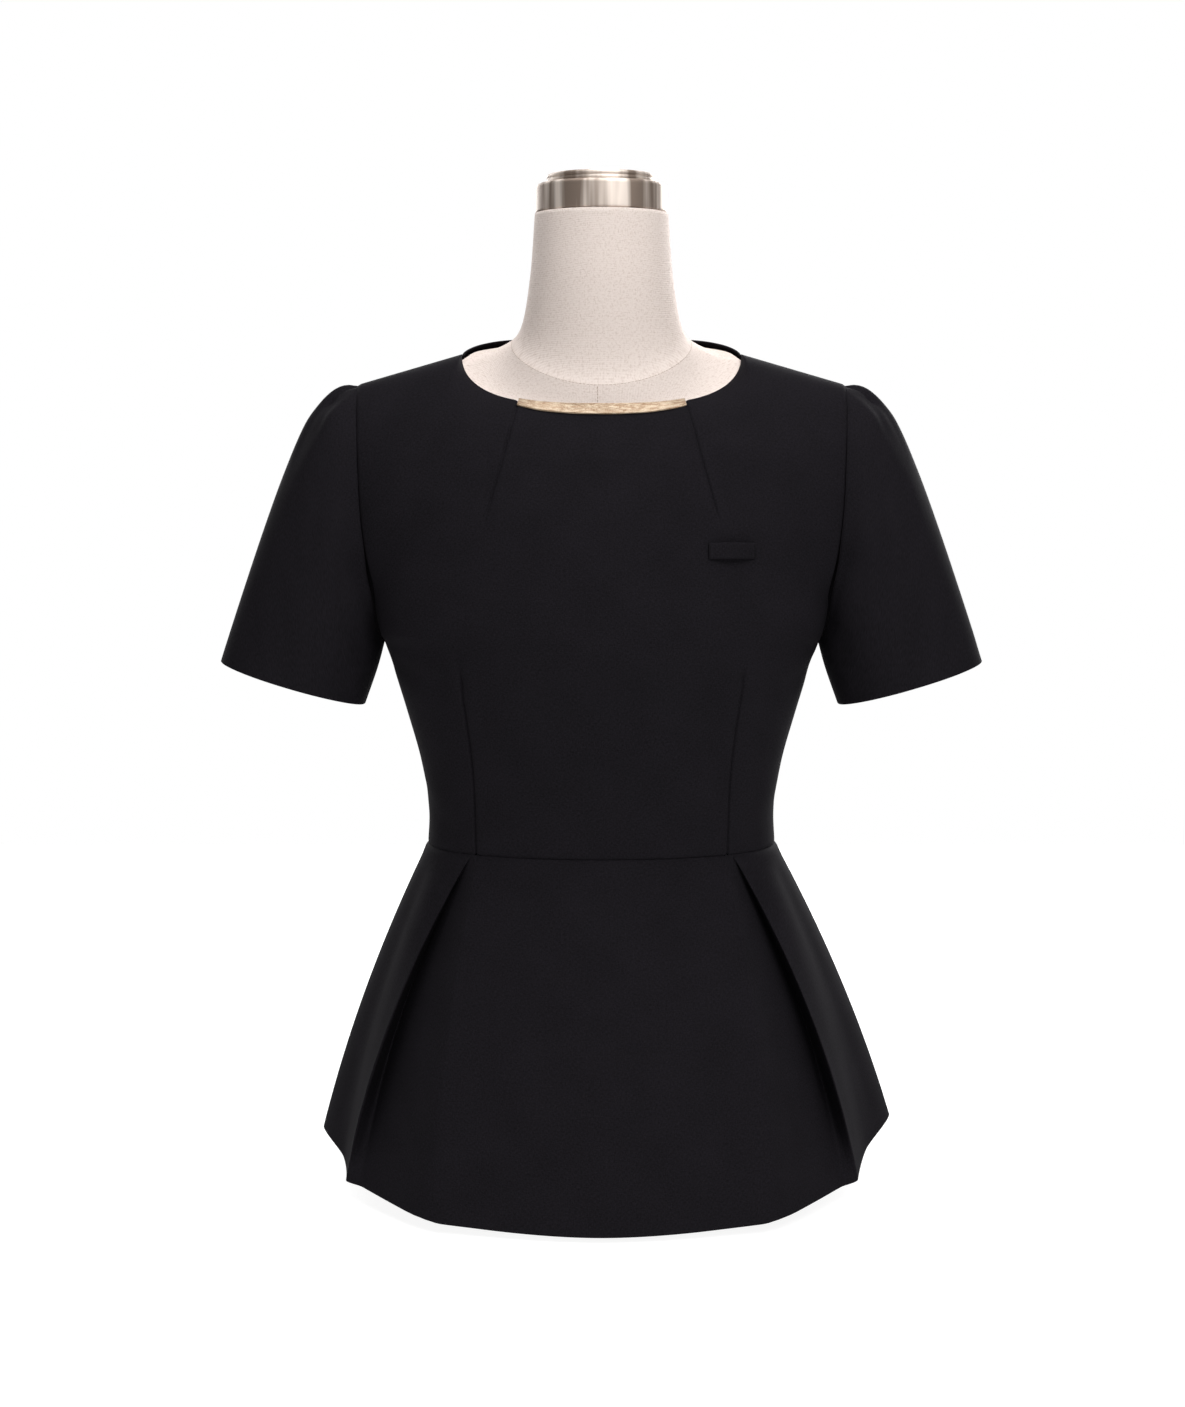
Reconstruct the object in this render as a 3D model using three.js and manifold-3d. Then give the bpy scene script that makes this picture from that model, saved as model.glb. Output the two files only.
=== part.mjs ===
// A short-sleeved peplum top with an opened pleat each side, worn on a limbless dress form.
// Millimetres, +Z up, the front towards -Y, the form's flat base on z = 0.
import * as THREE from "three";
import * as BufferGeometryUtils from "three/addons/utils/BufferGeometryUtils.js";
import Module from "manifold-3d";

const wasm = await Module();
wasm.setup();

// Cloth
const clothThickness = 2;
const trimThickness = 1;
const seamGap = 0.3;
const bodyEase = 3;
const shoulderEase = 0.6;
const neckPointEase = 2.2;
const neckPointReach = 0.12;
const dartGroove = 0.8;

// Heights above the base
const waistHeight = 251;
const underarmHeight = 401;
const fanHeight = 533;
const shoulderTipHeight = 588;
const neckPointHeight = 610;
const frontNeckHeight = 572;
const backNeckHeight = 624;
const waistDartTop = 392;
const neckDartFoot = 500;

// Half widths, and how far the neckline lies in front of and behind the side seam
const sideSeamY = 4;
const shoulderHalfWidth = 178;
const neckHalfWidth = 102;
const neckDartHalfWidth = 59;
const frontNeckDepth = 70;
const backNeckDepth = 58;
const frontNeckCurve = 1.45;
const armholeDepthFront = 56;
const armholeDepthBack = 58;
const sectionFullness = 0.85;
const chestTurn = 35;
const chestBlend = 70;

// Places along a row of the bodice: 0 at the centre, 1 at the side seam or armhole
const dartAcross = 0.38;
const neckAcross = 0.66;
const grooveHalf = 0.014;

// Horizontal sections of the bodice
const bodiceSections = [
  { height: 251, halfWidth: 128.6, front: 95, back: 80, dart: 90.6 },
  { height: 275, halfWidth: 127.8, front: 96, back: 82, dart: 91 },
  { height: 311, halfWidth: 133, front: 100, back: 87, dart: 92.3 },
  { height: 346, halfWidth: 142.5, front: 108, back: 93, dart: 96 },
  { height: 382, halfWidth: 153.5, front: 114, back: 99, dart: 101 },
  { height: 401, halfWidth: 160, front: 115, back: 102, dart: 102.5 },
  { height: 445, halfWidth: 167, front: 112, back: 106, dart: 94 },
  { height: 490, halfWidth: 172.5, front: 104, back: 107, dart: 82 },
  { height: 533, halfWidth: 175, front: 90, back: 100, dart: 70 },
];

// Sections of the form below the waist
const hipSections = [
  { height: 0, halfWidth: 160, front: 110, back: 116 },
  { height: 60, halfWidth: 165, front: 113, back: 122 },
  { height: 120, halfWidth: 157, front: 107, back: 114 },
  { height: 180, halfWidth: 140, front: 97, back: 96 },
  { height: 225, halfWidth: 126.5, front: 91, back: 79 },
];

// Rows of the bodice: heights up to the fan, then shares of the fan up to the neck and shoulder
const bodiceHeights = [251, 268, 290, 312, 336, 360, 382, 401, 409, 422, 440, 462, 486, 510, 533];
const fanShares = [0.25, 0.5, 0.72, 0.88, 1];

// Stations of the peplum from centre front (0) past the side seam (1) to centre back (2)
const peplumStations = [
  { across: 0, waistAngle: 0, hemX: 0, hemY: -180, hemZ: 8, bow: 8, corner: false },
  { across: 0.45, waistAngle: 43.5, hemX: 121, hemY: -157, hemZ: 10.5, bow: 10, corner: true },
  { across: 0.6, waistAngle: 46.8, hemX: 184, hemY: -84, hemZ: 16, bow: 12, corner: true },
  { across: 0.85, waistAngle: 68, hemX: 190, hemY: -38, hemZ: 22, bow: 8, corner: false },
  { across: 1, waistAngle: 90, hemX: 210, hemY: 15, hemZ: 32, bow: 6.5, corner: false },
  { across: 1.35, waistAngle: 118, hemX: 186, hemY: 98, hemZ: 24, bow: 8, corner: false },
  { across: 1.65, waistAngle: 145, hemX: 112, hemY: 133, hemZ: 19, bow: 9, corner: false },
  { across: 2, waistAngle: 180, hemX: 0, hemY: 166, hemZ: 15, bow: 8, corner: false },
];
const creaseAcross = 0.45;
const foldAcross = 0.6;
const valleyAcross = 0.56;
const pleatDepth = 13;
const pleatDeepest = 0.3;
// The right-hand side corner of the hem swings out and up a little more than the left
const rightHemOut = 8;
const rightHemUp = 9;

// Sleeve: the top and underarm lines, seen from the front, and the half depth of the tube
const sleeveTop = [
  { along: 0, x: 178, z: 588 },
  { along: 0.04, x: 187, z: 588 },
  { along: 0.075, x: 195, z: 585 },
  { along: 0.13, x: 205, z: 576 },
  { along: 0.22, x: 216.5, z: 559 },
  { along: 0.36, x: 231, z: 526 },
  { along: 0.54, x: 246, z: 486 },
  { along: 0.78, x: 264, z: 434 },
  { along: 1, x: 280, z: 386 },
];
const sleeveUnder = [
  { along: 0, x: 160, z: 401 },
  { along: 0.5, x: 165.5, z: 380 },
  { along: 1, x: 174.5, z: 354 },
];
const sleeveDepths = [
  { along: 0, depth: 56, middle: 4 },
  { along: 0.15, depth: 60, middle: 3 },
  { along: 0.5, depth: 58, middle: 0 },
  { along: 1, depth: 52, middle: -3 },
];
const sleeveRows = [0, 0.04, 0.09, 0.16, 0.25, 0.36, 0.5, 0.65, 0.83, 1];
const armholeBlend = 0.3;
const tuckDepth = 4;
const tuckLength = 0.36;
const tuckStartAngle = 12;
const tuckEndAngle = 32;
const tuckHalfAngle = 11;

// Trim and badge loop
const trimShare = 0.18;
const loopInnerX = 74.6;
const loopOuterX = 106.8;
const loopBottom = 463.5;
const loopTop = 474;
const loopBow = 4;
const loopThickness = 1.2;

// Neck of the form: rise above the tilted neck seam, and radius
const neckSeamFront = 585;
const neckSeamBack = 632;
const neckSeamSideLift = 6;
const neckTopHeight = 713;
const neckProfile = [
  { rise: -14, radius: 63 },
  { rise: 0, radius: 62 },
  { rise: 0.05, radius: 58 },
  { rise: 0.12, radius: 55.2 },
  { rise: 0.28, radius: 53.4 },
  { rise: 0.6, radius: 50.5 },
  { rise: 1, radius: 48.6 },
];
const neckShortening = 0.88;
const neckForward = 3;
const crownOfShoulders = 28;
const capBandRadius = 48;
const capBandBottom = 713.3;
const capBandTop = 734;
const capDiscRadius = 40;
const capDiscTop = 744.5;
const capEdge = 3.5;

// Zip: slider and pull at the top of the centre-back seam
const sliderShare = 0.72;
const sliderWidth = 5.2;
const sliderLength = 8;
const sliderThickness = 1.6;
const pinStandOff = 4.4;
const pinRadius = 0.8;
const eyeHoleRadius = 1.1;
const eyeRadius = 2;
const eyeWidth = 2.4;
const lugInside = 1.5;
const lugThickness = 0.9;
const lugRadius = 1.5;
const pullWidth = 4;
const pullLength = 15;
const pullThickness = 1.2;
const pullStart = 2.6;

const suiting = { color: 0x1a191c, roughness: 0.9, metalness: 0 };
const goldWeave = { color: 0xd8bc91, roughness: 0.45, metalness: 0.5 };
const linen = { color: 0xddd3cb, roughness: 0.95, metalness: 0 };
const steel = { color: 0xb9aea6, roughness: 0.3, metalness: 1 };
const zipMetal = { color: 0x2a2a2c, roughness: 0.4, metalness: 1 };

const group = new THREE.Group();

const { lerp, clamp, smoothstep, degToRad } = THREE.MathUtils;
const point = (x, y, z) => new THREE.Vector3(x, y, z);

// Smooth curve through one column of a table
function readTable(rows, key, column, at) {
  const last = rows.length - 1;
  const value = clamp(at, rows[0][key], rows[last][key]);
  let i = 0;
  while (i < last - 1 && value > rows[i + 1][key]) i += 1;
  const slope = (a, b) => (rows[b][column] - rows[a][column]) / (rows[b][key] - rows[a][key]);
  const chord = slope(i, i + 1);
  const startSlope = i > 0 ? slope(i - 1, i + 1) : chord;
  const endSlope = i + 2 <= last ? slope(i, i + 2) : chord;
  return hermite(rows[i], rows[i + 1], key, column, startSlope, endSlope, value);
}

function hermite(start, end, key, column, startSlope, endSlope, value) {
  const span = end[key] - start[key];
  const t = (value - start[key]) / span;
  const square = t * t;
  const cube = square * t;
  return (
    start[column] * (2 * cube - 3 * square + 1) +
    startSlope * span * (cube - 2 * square + t) +
    end[column] * (3 * square - 2 * cube) +
    endSlope * span * (cube - square)
  );
}

// Bodice: a horizontal section, side -1 for the front and 1 for the back
const armholeMiddle = (shoulderTipHeight + underarmHeight) / 2;
const armholeHalf = (shoulderTipHeight - underarmHeight) / 2;
const fanAngle = Math.acos((fanHeight - armholeMiddle) / armholeHalf);

function armholeEdge(side, height) {
  if (height <= underarmHeight) return sideSeamY;
  const cosine = Math.min((height - armholeMiddle) / armholeHalf, 1);
  const depth = side < 0 ? armholeDepthFront : armholeDepthBack;
  return sideSeamY + side * depth * Math.sqrt(1 - cosine * cosine);
}

function sectionFrame(height) {
  const chest = smoothstep(height, underarmHeight, underarmHeight + chestBlend);
  const widest = degToRad(90 - chestTurn * chest);
  const halfWidth = readTable(bodiceSections, "height", "halfWidth", height);
  const dart = readTable(bodiceSections, "height", "dart", height);
  const dartAngle = Math.asin((dart / halfWidth) * Math.sin(widest));
  return { chest, widest, halfWidth, dartAngle };
}

function sectionPoint(side, across, height) {
  const { chest, widest, halfWidth, dartAngle } = sectionFrame(height);
  const share = Math.abs(across);
  const angle =
    share <= dartAcross
      ? (dartAngle * share) / dartAcross
      : lerp(dartAngle, widest, (share - dartAcross) / (1 - dartAcross));
  const centre = side * readTable(bodiceSections, "height", side < 0 ? "front" : "back", height);
  const edge = armholeEdge(side, height);
  const rise = Math.max((Math.cos(angle) - Math.cos(widest)) / (1 - Math.cos(widest)), 0);
  const fullness = lerp(sectionFullness, 1, chest);
  return point(
    (Math.sign(across) * halfWidth * Math.sin(angle)) / Math.sin(widest),
    edge + (centre - edge) * rise ** fullness,
    height,
  );
}

// Neckline from the centre to the neck point, then the shoulder line to its tip
function topEdgePoint(side, across) {
  const share = Math.abs(across);
  const sign = Math.sign(across);
  if (share > neckAcross) {
    const part = (share - neckAcross) / (1 - neckAcross);
    const x = lerp(neckHalfWidth, shoulderHalfWidth, part);
    return point(sign * x, sideSeamY, lerp(neckPointHeight, shoulderTipHeight, part));
  }
  const dartAngle = Math.asin(neckDartHalfWidth / neckHalfWidth);
  const angle =
    share <= dartAcross
      ? (dartAngle * share) / dartAcross
      : lerp(dartAngle, Math.PI / 2, (share - dartAcross) / (neckAcross - dartAcross));
  const cosine = Math.cos(angle);
  const x = sign * neckHalfWidth * Math.sin(angle);
  if (side < 0) {
    const drop = neckPointHeight - frontNeckHeight;
    const z = frontNeckHeight + drop * (1 - cosine) ** frontNeckCurve;
    return point(x, sideSeamY - frontNeckDepth * cosine, z);
  }
  const z = neckPointHeight + (backNeckHeight - neckPointHeight) * cosine;
  return point(x, sideSeamY + backNeckDepth * cosine, z);
}

// up runs 0 to 1 from the waist to the fan, and 1 to 2 over the fan to the top edge
function bodicePoint(side, across, up) {
  const base = sectionPoint(side, across, lerp(waistHeight, fanHeight, Math.min(up, 1)));
  if (up <= 1) return base;
  const fan = up - 1;
  const top = topEdgePoint(side, across);
  const round = smoothstep(Math.abs(across), 0, neckAcross);
  const angle = fanAngle * (1 - fan);
  const turnUp = (Math.cos(angle) - Math.cos(fanAngle)) / (1 - Math.cos(fanAngle));
  const turnIn = Math.sin(angle) / Math.sin(fanAngle);
  const rise = lerp(fan, turnUp, round);
  const fall = lerp(1 - fan, turnIn, round);
  return point(lerp(base.x, top.x, rise), lerp(top.y, base.y, fall), lerp(base.z, top.z, rise));
}

// Unit normal of any surface given as a function of two places, by small differences
function normalAt(surface, a, b, aRange, bRange, sign) {
  const step = 0.004;
  const along = (value, range) => [
    Math.max(value - step, range[0]),
    Math.min(value + step, range[1]),
  ];
  const [a0, a1] = along(a, aRange);
  const [b0, b1] = along(b, bRange);
  const du = surface(a1, b).sub(surface(a0, b));
  const dv = surface(a, b1).sub(surface(a, b0));
  return du.cross(dv).setLength(sign);
}

function bodiceNormal(side, across, up) {
  const surface = (a, b) => bodicePoint(side, a, b);
  const lowest = up > 1 ? 1 : 0;
  const highest = up > 1 ? 2 : 1;
  return normalAt(surface, across, up, [-1, 1], [lowest, highest], -side);
}

const bodiceRows = [
  ...bodiceHeights.map((height) => (height - waistHeight) / (fanHeight - waistHeight)),
  ...fanShares.map((share) => 1 + share),
];

// Grids of points, and the closed wall between an outer and an inner grid
function makeGrid(rows, columns, pointAt) {
  return rows.map((row) => columns.map((column) => pointAt(column, row)));
}

function moveEdge(edge, neighbour) {
  edge.forEach((corner, i) => {
    corner.add(neighbour[i].clone().sub(corner).setLength(seamGap / 2));
  });
}

function drawIn(grid, { bottom = false, top = false, sides = false }) {
  if (bottom) moveEdge(grid[0], grid[1]);
  if (top) moveEdge(grid.at(-1), grid.at(-2));
  if (sides) {
    moveEdge(grid.map((row) => row[0]), grid.map((row) => row[1]));
    moveEdge(grid.map((row) => row.at(-1)), grid.map((row) => row.at(-2)));
  }
  return grid;
}

function addMesh(name, look, geometry) {
  const mesh = new THREE.Mesh(geometry, new THREE.MeshStandardMaterial(look));
  mesh.name = name;
  group.add(mesh);
  return mesh;
}

function signedVolume(positions, triangles) {
  const corner = (i) => point(...positions.slice(3 * i, 3 * i + 3));
  let volume = 0;
  for (let i = 0; i < triangles.length; i += 3) {
    const [a, b, c] = [corner(triangles[i]), corner(triangles[i + 1]), corner(triangles[i + 2])];
    volume += a.dot(b.cross(c)) / 6;
  }
  return volume;
}

// Closed geometry from loose triangles: corners that coincide are shared, and slivers dropped
function closedGeometry(positions, triangles) {
  const facingOut = signedVolume(positions, triangles) > 0;
  const index = [];
  for (let i = 0; i < triangles.length; i += 3) {
    const [a, b, c] = triangles.slice(i, i + 3);
    index.push(a, facingOut ? b : c, facingOut ? c : b);
  }
  const raw = new THREE.BufferGeometry();
  raw.setAttribute("position", new THREE.Float32BufferAttribute(positions, 3));
  raw.setIndex(index);
  const merged = BufferGeometryUtils.mergeVertices(raw, 2e-3);
  const kept = [];
  const shared = merged.index.array;
  for (let i = 0; i < shared.length; i += 3) {
    const [a, b, c] = shared.slice(i, i + 3);
    if (a !== b && b !== c && c !== a) kept.push(a, b, c);
  }
  merged.setIndex(kept);
  return merged;
}

function wallGeometry(outer, inner, wraps = false) {
  const columns = outer[0].length;
  const lastRow = outer.length - 1;
  const positions = [...outer.flat(), ...inner.flat()].flatMap((corner) => corner.toArray());
  const out = (row, column) => row * columns + (column % columns);
  const into = (row, column) => outer.length * columns + out(row, column);
  const triangles = [];
  const quad = (a, b, c, d) => triangles.push(a, b, c, a, c, d);
  const strips = wraps ? columns : columns - 1;
  for (let c = 0; c < strips; c += 1) {
    for (let r = 0; r < lastRow; r += 1) {
      quad(out(r, c), out(r, c + 1), out(r + 1, c + 1), out(r + 1, c));
      quad(into(r, c), into(r + 1, c), into(r + 1, c + 1), into(r, c + 1));
    }
    quad(out(0, c), into(0, c), into(0, c + 1), out(0, c + 1));
    quad(out(lastRow, c), out(lastRow, c + 1), into(lastRow, c + 1), into(lastRow, c));
  }
  if (!wraps) {
    const end = columns - 1;
    for (let r = 0; r < lastRow; r += 1) {
      quad(out(r, 0), out(r + 1, 0), into(r + 1, 0), into(r, 0));
      quad(out(r, end), into(r, end), into(r + 1, end), out(r + 1, end));
    }
  }
  return closedGeometry(positions, triangles);
}

// Bodice panels
function grooveAt(side, across, up) {
  if (Math.abs(Math.abs(across) - dartAcross) > grooveHalf / 2) return 0;
  const height = lerp(waistHeight, fanHeight, Math.min(up, 1));
  if (height < waistDartTop) return dartGroove;
  return side < 0 && height > neckDartFoot ? dartGroove : 0;
}

function addBodicePanel(name, side, columns) {
  const move = (across, up, distance) => {
    const normal = bodiceNormal(side, across, up);
    return bodicePoint(side, across, up).addScaledVector(normal, distance);
  };
  const outer = makeGrid(bodiceRows, columns, (a, u) => move(a, u, -grooveAt(side, a, u)));
  const inner = makeGrid(bodiceRows, columns, (a, u) => move(a, u, -clothThickness));
  const edges = { bottom: true, top: true, sides: true };
  addMesh(name, suiting, wallGeometry(drawIn(outer, edges), drawIn(inner, edges)));
}

const dartColumns = [dartAcross - grooveHalf, dartAcross, dartAcross + grooveHalf];
const halfColumns = [0, 0.12, 0.25, ...dartColumns, 0.47, 0.56, neckAcross, 0.76, 0.86, 0.94, 1];
const mirrored = (columns) => columns.map((a) => -a).reverse();
const frontColumns = [...mirrored(halfColumns.slice(1)), ...halfColumns];

addBodicePanel("bodice_front", -1, frontColumns);
addBodicePanel("bodice_back_right", 1, halfColumns);
addBodicePanel("bodice_back_left", 1, mirrored(halfColumns));

// Strips that lie on the bodice front, made from its points moved out
function frontPointOut(across, up, distance) {
  const normal = bodiceNormal(-1, across, up);
  return bodicePoint(-1, across, up).addScaledVector(normal, distance);
}

function addNeckTrim() {
  const columns = frontColumns.filter((a) => Math.abs(a) < dartAcross);
  const rows = [2 - trimShare, 2 - trimShare / 2, 2];
  const inner = makeGrid(rows, columns, (a, u) => frontPointOut(a, u, seamGap));
  const outer = makeGrid(rows, columns, (a, u) => frontPointOut(a, u, seamGap + trimThickness));
  addMesh("neck_trim", goldWeave, wallGeometry(outer, inner));
}

function acrossAtX(x, height) {
  const { widest, halfWidth, dartAngle } = sectionFrame(height);
  const angle = Math.asin((x / halfWidth) * Math.sin(widest));
  if (angle <= dartAngle) return (dartAcross * angle) / dartAngle;
  return dartAcross + ((1 - dartAcross) * (angle - dartAngle)) / (widest - dartAngle);
}

function addBadgeLoop() {
  const shares = [0, 0.1, 0.22, 0.34, 0.46, 0.58, 0.7, 0.8, 0.9, 1];
  const place = (extra) => (share, height) => {
    const across = acrossAtX(lerp(loopInnerX, loopOuterX, share), height);
    const up = (height - waistHeight) / (fanHeight - waistHeight);
    const bow = loopBow * Math.sin(Math.PI * clamp((share - 0.08) / 0.84, 0, 1)) ** 2;
    return frontPointOut(across, up, seamGap + dartGroove / 2 + bow + extra);
  };
  const rows = [loopBottom, (loopBottom + loopTop) / 2, loopTop];
  const inner = makeGrid(rows, shares, place(0));
  const outer = makeGrid(rows, shares, place(loopThickness));
  addMesh("badge_loop", suiting, wallGeometry(outer, inner));
}

addNeckTrim();
addBadgeLoop();

// Sleeves: rings from the armhole to the cuff, hand -1 on the left and 1 on the right
function armholePoint(hand, angle) {
  const height = armholeMiddle + armholeHalf * Math.cos(angle);
  const side = Math.sin(angle) >= 0 ? -1 : 1;
  const fanPart = (height - fanHeight) / (shoulderTipHeight - fanHeight);
  const baseWidth = readTable(bodiceSections, "height", "halfWidth", height);
  const x = fanPart > 0 ? lerp(baseWidth, shoulderHalfWidth, fanPart) : baseWidth;
  return point(hand * x, armholeEdge(side, height), height);
}

function sleeveRing(hand, angle, along) {
  const read = (table, column) => readTable(table, "along", column, along);
  const top = point(read(sleeveTop, "x"), 0, read(sleeveTop, "z"));
  const under = point(read(sleeveUnder, "x"), 0, read(sleeveUnder, "z"));
  const ring = top.clone().add(under).multiplyScalar(0.5);
  ring.addScaledVector(top.clone().sub(under), Math.cos(angle) / 2);
  ring.y = read(sleeveDepths, "middle") - read(sleeveDepths, "depth") * Math.sin(angle);
  ring.x *= hand;
  return ring;
}

function plainSleevePoint(hand, angle, along) {
  const shift = armholePoint(hand, angle).sub(sleeveRing(hand, angle, 0));
  const share = 1 - smoothstep(along, 0, armholeBlend);
  return sleeveRing(hand, angle, along).addScaledVector(shift, share);
}

function sleevePoint(hand, angle, along) {
  const place = plainSleevePoint(hand, angle, along);
  const length = Math.min(along / tuckLength, 1);
  const depth = tuckDepth * Math.sin(Math.PI * length ** 0.6);
  const centre = lerp(tuckStartAngle, tuckEndAngle, Math.min(length * 2.5, 1));
  const degrees = Math.abs(THREE.MathUtils.radToDeg(angle));
  const fromCentre = (Math.min(degrees, 360 - degrees) - centre) / tuckHalfAngle;
  const valley = depth * Math.exp(-fromCentre * fromCentre);
  const middle = sleeveRing(hand, Math.PI / 2, along);
  middle.y = place.y * 0.2;
  return place.addScaledVector(middle.sub(place).normalize(), valley);
}

function addSleeve(name, hand) {
  const armholeAngles = bodiceRows
    .filter((up) => up * (fanHeight - waistHeight) + waistHeight >= underarmHeight)
    .map((up) => (up <= 1
      ? Math.acos((lerp(waistHeight, fanHeight, up) - armholeMiddle) / armholeHalf)
      : fanAngle * (2 - up)));
  const half = armholeAngles.reverse();
  const angles = [...half, ...half.slice(1, -1).reverse().map((angle) => 2 * Math.PI - angle)];
  const surface = (angle, along) => sleevePoint(hand, angle, along);
  const around = [-1, 2 * Math.PI + 1];
  const outer = makeGrid(sleeveRows, angles, surface);
  const inner = makeGrid(sleeveRows, angles, (angle, along) => {
    const normal = normalAt(surface, angle, along, around, [0, 1], hand);
    if (along === 0) normal.x = hand * Math.min(hand * normal.x, 0);
    return surface(angle, along).addScaledVector(normal, -clothThickness);
  });
  const edges = { bottom: true };
  addMesh(name, suiting, wallGeometry(drawIn(outer, edges), drawIn(inner, edges), true));
}

addSleeve("sleeve_left", -1);
addSleeve("sleeve_right", 1);

// Peplum: each column runs from its place on the waist to its place on the hem
function waistPoint(degrees) {
  const { halfWidth } = sectionFrame(waistHeight);
  const side = Math.abs(degrees) <= 90 ? -1 : 1;
  const depth = side * bodiceSections[0][side < 0 ? "front" : "back"];
  const angle = degToRad(degrees);
  const rise = Math.abs(Math.cos(angle)) ** sectionFullness;
  return point(halfWidth * Math.sin(angle), sideSeamY + (depth - sideSeamY) * rise, waistHeight);
}

// Smooth between stations, but free to turn at a corner, and level across both centre lines
function readStations(column, at) {
  const last = peplumStations.length - 1;
  let i = 0;
  while (i < last - 1 && at > peplumStations[i + 1].across) i += 1;
  const [start, end] = [peplumStations[i], peplumStations[i + 1]];
  const chord = (a, b) => (b[column] - a[column]) / (b.across - a.across);
  const straight = chord(start, end);
  const atCentre = column === "hemX" || column === "waistAngle" ? straight : 0;
  let startSlope = i === 0 ? atCentre : chord(peplumStations[i - 1], end);
  let endSlope = i + 1 === last ? atCentre : chord(start, peplumStations[Math.min(i + 2, last)]);
  if (start.corner && end.corner) {
    return lerp(start[column], end[column], (at - start.across) / (end.across - start.across));
  }
  if (start.corner) startSlope = 1.5 * straight - 0.5 * endSlope;
  if (end.corner) endSlope = 1.5 * straight - 0.5 * startSlope;
  return hermite(start, end, "across", column, startSlope, endSlope, at);
}

function flaredPoint(across, down) {
  const share = Math.abs(across);
  const waist = waistPoint(readStations("waistAngle", share));
  const side = Math.max(1 - Math.abs(share - 1) / 0.4, 0);
  const swing = across > 0 ? side : 0;
  const hem = point(
    readStations("hemX", share) + rightHemOut * swing,
    readStations("hemY", share),
    readStations("hemZ", share) + rightHemUp * swing,
  );
  const outward = hem.clone().sub(waist).setZ(0).normalize();
  const place = waist.lerp(hem, down);
  place.addScaledVector(outward, readStations("bow", share) * 4 * down * (1 - down));
  if (across < 0) place.x = -place.x;
  return place;
}

function peplumPoint(across, down) {
  const place = flaredPoint(across, down);
  const share = Math.abs(across);
  const shallow = (share - creaseAcross) / (valleyAcross - creaseAcross);
  const steep = (foldAcross - share) / (foldAcross - valleyAcross);
  const wedge = Math.min(shallow, steep);
  if (wedge <= 0) return place;
  const sign = Math.sign(across);
  const chord = flaredPoint(sign * foldAcross, down).sub(flaredPoint(sign * creaseAcross, down));
  const inward = point(-chord.y, chord.x, 0).setLength(sign);
  const deepen = (down / pleatDeepest) * Math.exp(1 - down / pleatDeepest) * (1 - down * down);
  return place.addScaledVector(inward, pleatDepth * deepen * wedge);
}

function addPeplum(name, columns) {
  const rows = [1, 0.8, 0.6, 0.42, 0.28, 0.15, 0.06, 0];
  const inner = makeGrid(rows, columns, (across, down) => {
    const normal = normalAt(peplumPoint, across, down, [-2, 2], [0, 1], -1);
    return peplumPoint(across, down).addScaledVector(normal, -clothThickness);
  });
  const outer = makeGrid(rows, columns, peplumPoint);
  const edges = { top: true, sides: true };
  addMesh(name, suiting, wallGeometry(drawIn(outer, edges), drawIn(inner, edges)));
}

const pleatColumns = [creaseAcross, 0.487, 0.524, valleyAcross, 0.58, foldAcross];
const peplumHalf = [0.07, 0.14, 0.21, 0.28, 0.35, 0.41, ...pleatColumns, 0.66, 0.73, 0.8, 0.87, 0.94, 1];
addPeplum("peplum_front", [...mirrored(peplumHalf), 0, ...peplumHalf]);
const peplumBack = [1, 1.08, 1.17, 1.26, 1.35, 1.44, 1.53, 1.62, 1.71, 1.8, 1.9, 2];
addPeplum("peplum_back_right", peplumBack);
addPeplum("peplum_back_left", mirrored(peplumBack));

// Form: the bodice's own shape moved inwards, hips below, and a shallow crown under the neck
function hipPoint(side, across, height) {
  const waistRow = formBodicePoint(side, across, 0);
  const rows = [...hipSections, { height: waistHeight, halfWidth: 123.6, front: 90, back: 75 }];
  const read = (column, at) => readTable(rows, "height", column, at);
  const widen = read("halfWidth", height) / rows.at(-1).halfWidth;
  const column = side < 0 ? "front" : "back";
  const deepen = read(column, height) / rows.at(-1)[column];
  return point(waistRow.x * widen, sideSeamY + (waistRow.y - sideSeamY) * deepen, height);
}

function formBodicePoint(side, across, up) {
  const nearNeck = clamp(1 - Math.abs(Math.abs(across) - neckAcross) / neckPointReach, 0, 1);
  const topEase = shoulderEase + neckPointEase * nearNeck;
  const ease = lerp(bodyEase, topEase, smoothstep(up, 1, 1.6));
  const inset = (face) => {
    const normal = bodiceNormal(face, across, up);
    return bodicePoint(face, across, up).addScaledVector(normal, -clothThickness - ease);
  };
  const place = inset(side);
  const height = lerp(waistHeight, fanHeight, Math.min(up, 1));
  const onSideSeam = Math.abs(across) === 1 && (height <= underarmHeight || up === 2);
  const onShoulder = up === 2 && Math.abs(across) >= neckAcross;
  if (up === 0) place.z = waistHeight;
  if (!onSideSeam && !onShoulder) return place;
  place.add(inset(-side)).multiplyScalar(0.5);
  if (up === 0) place.z = waistHeight;
  return place;
}

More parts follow.
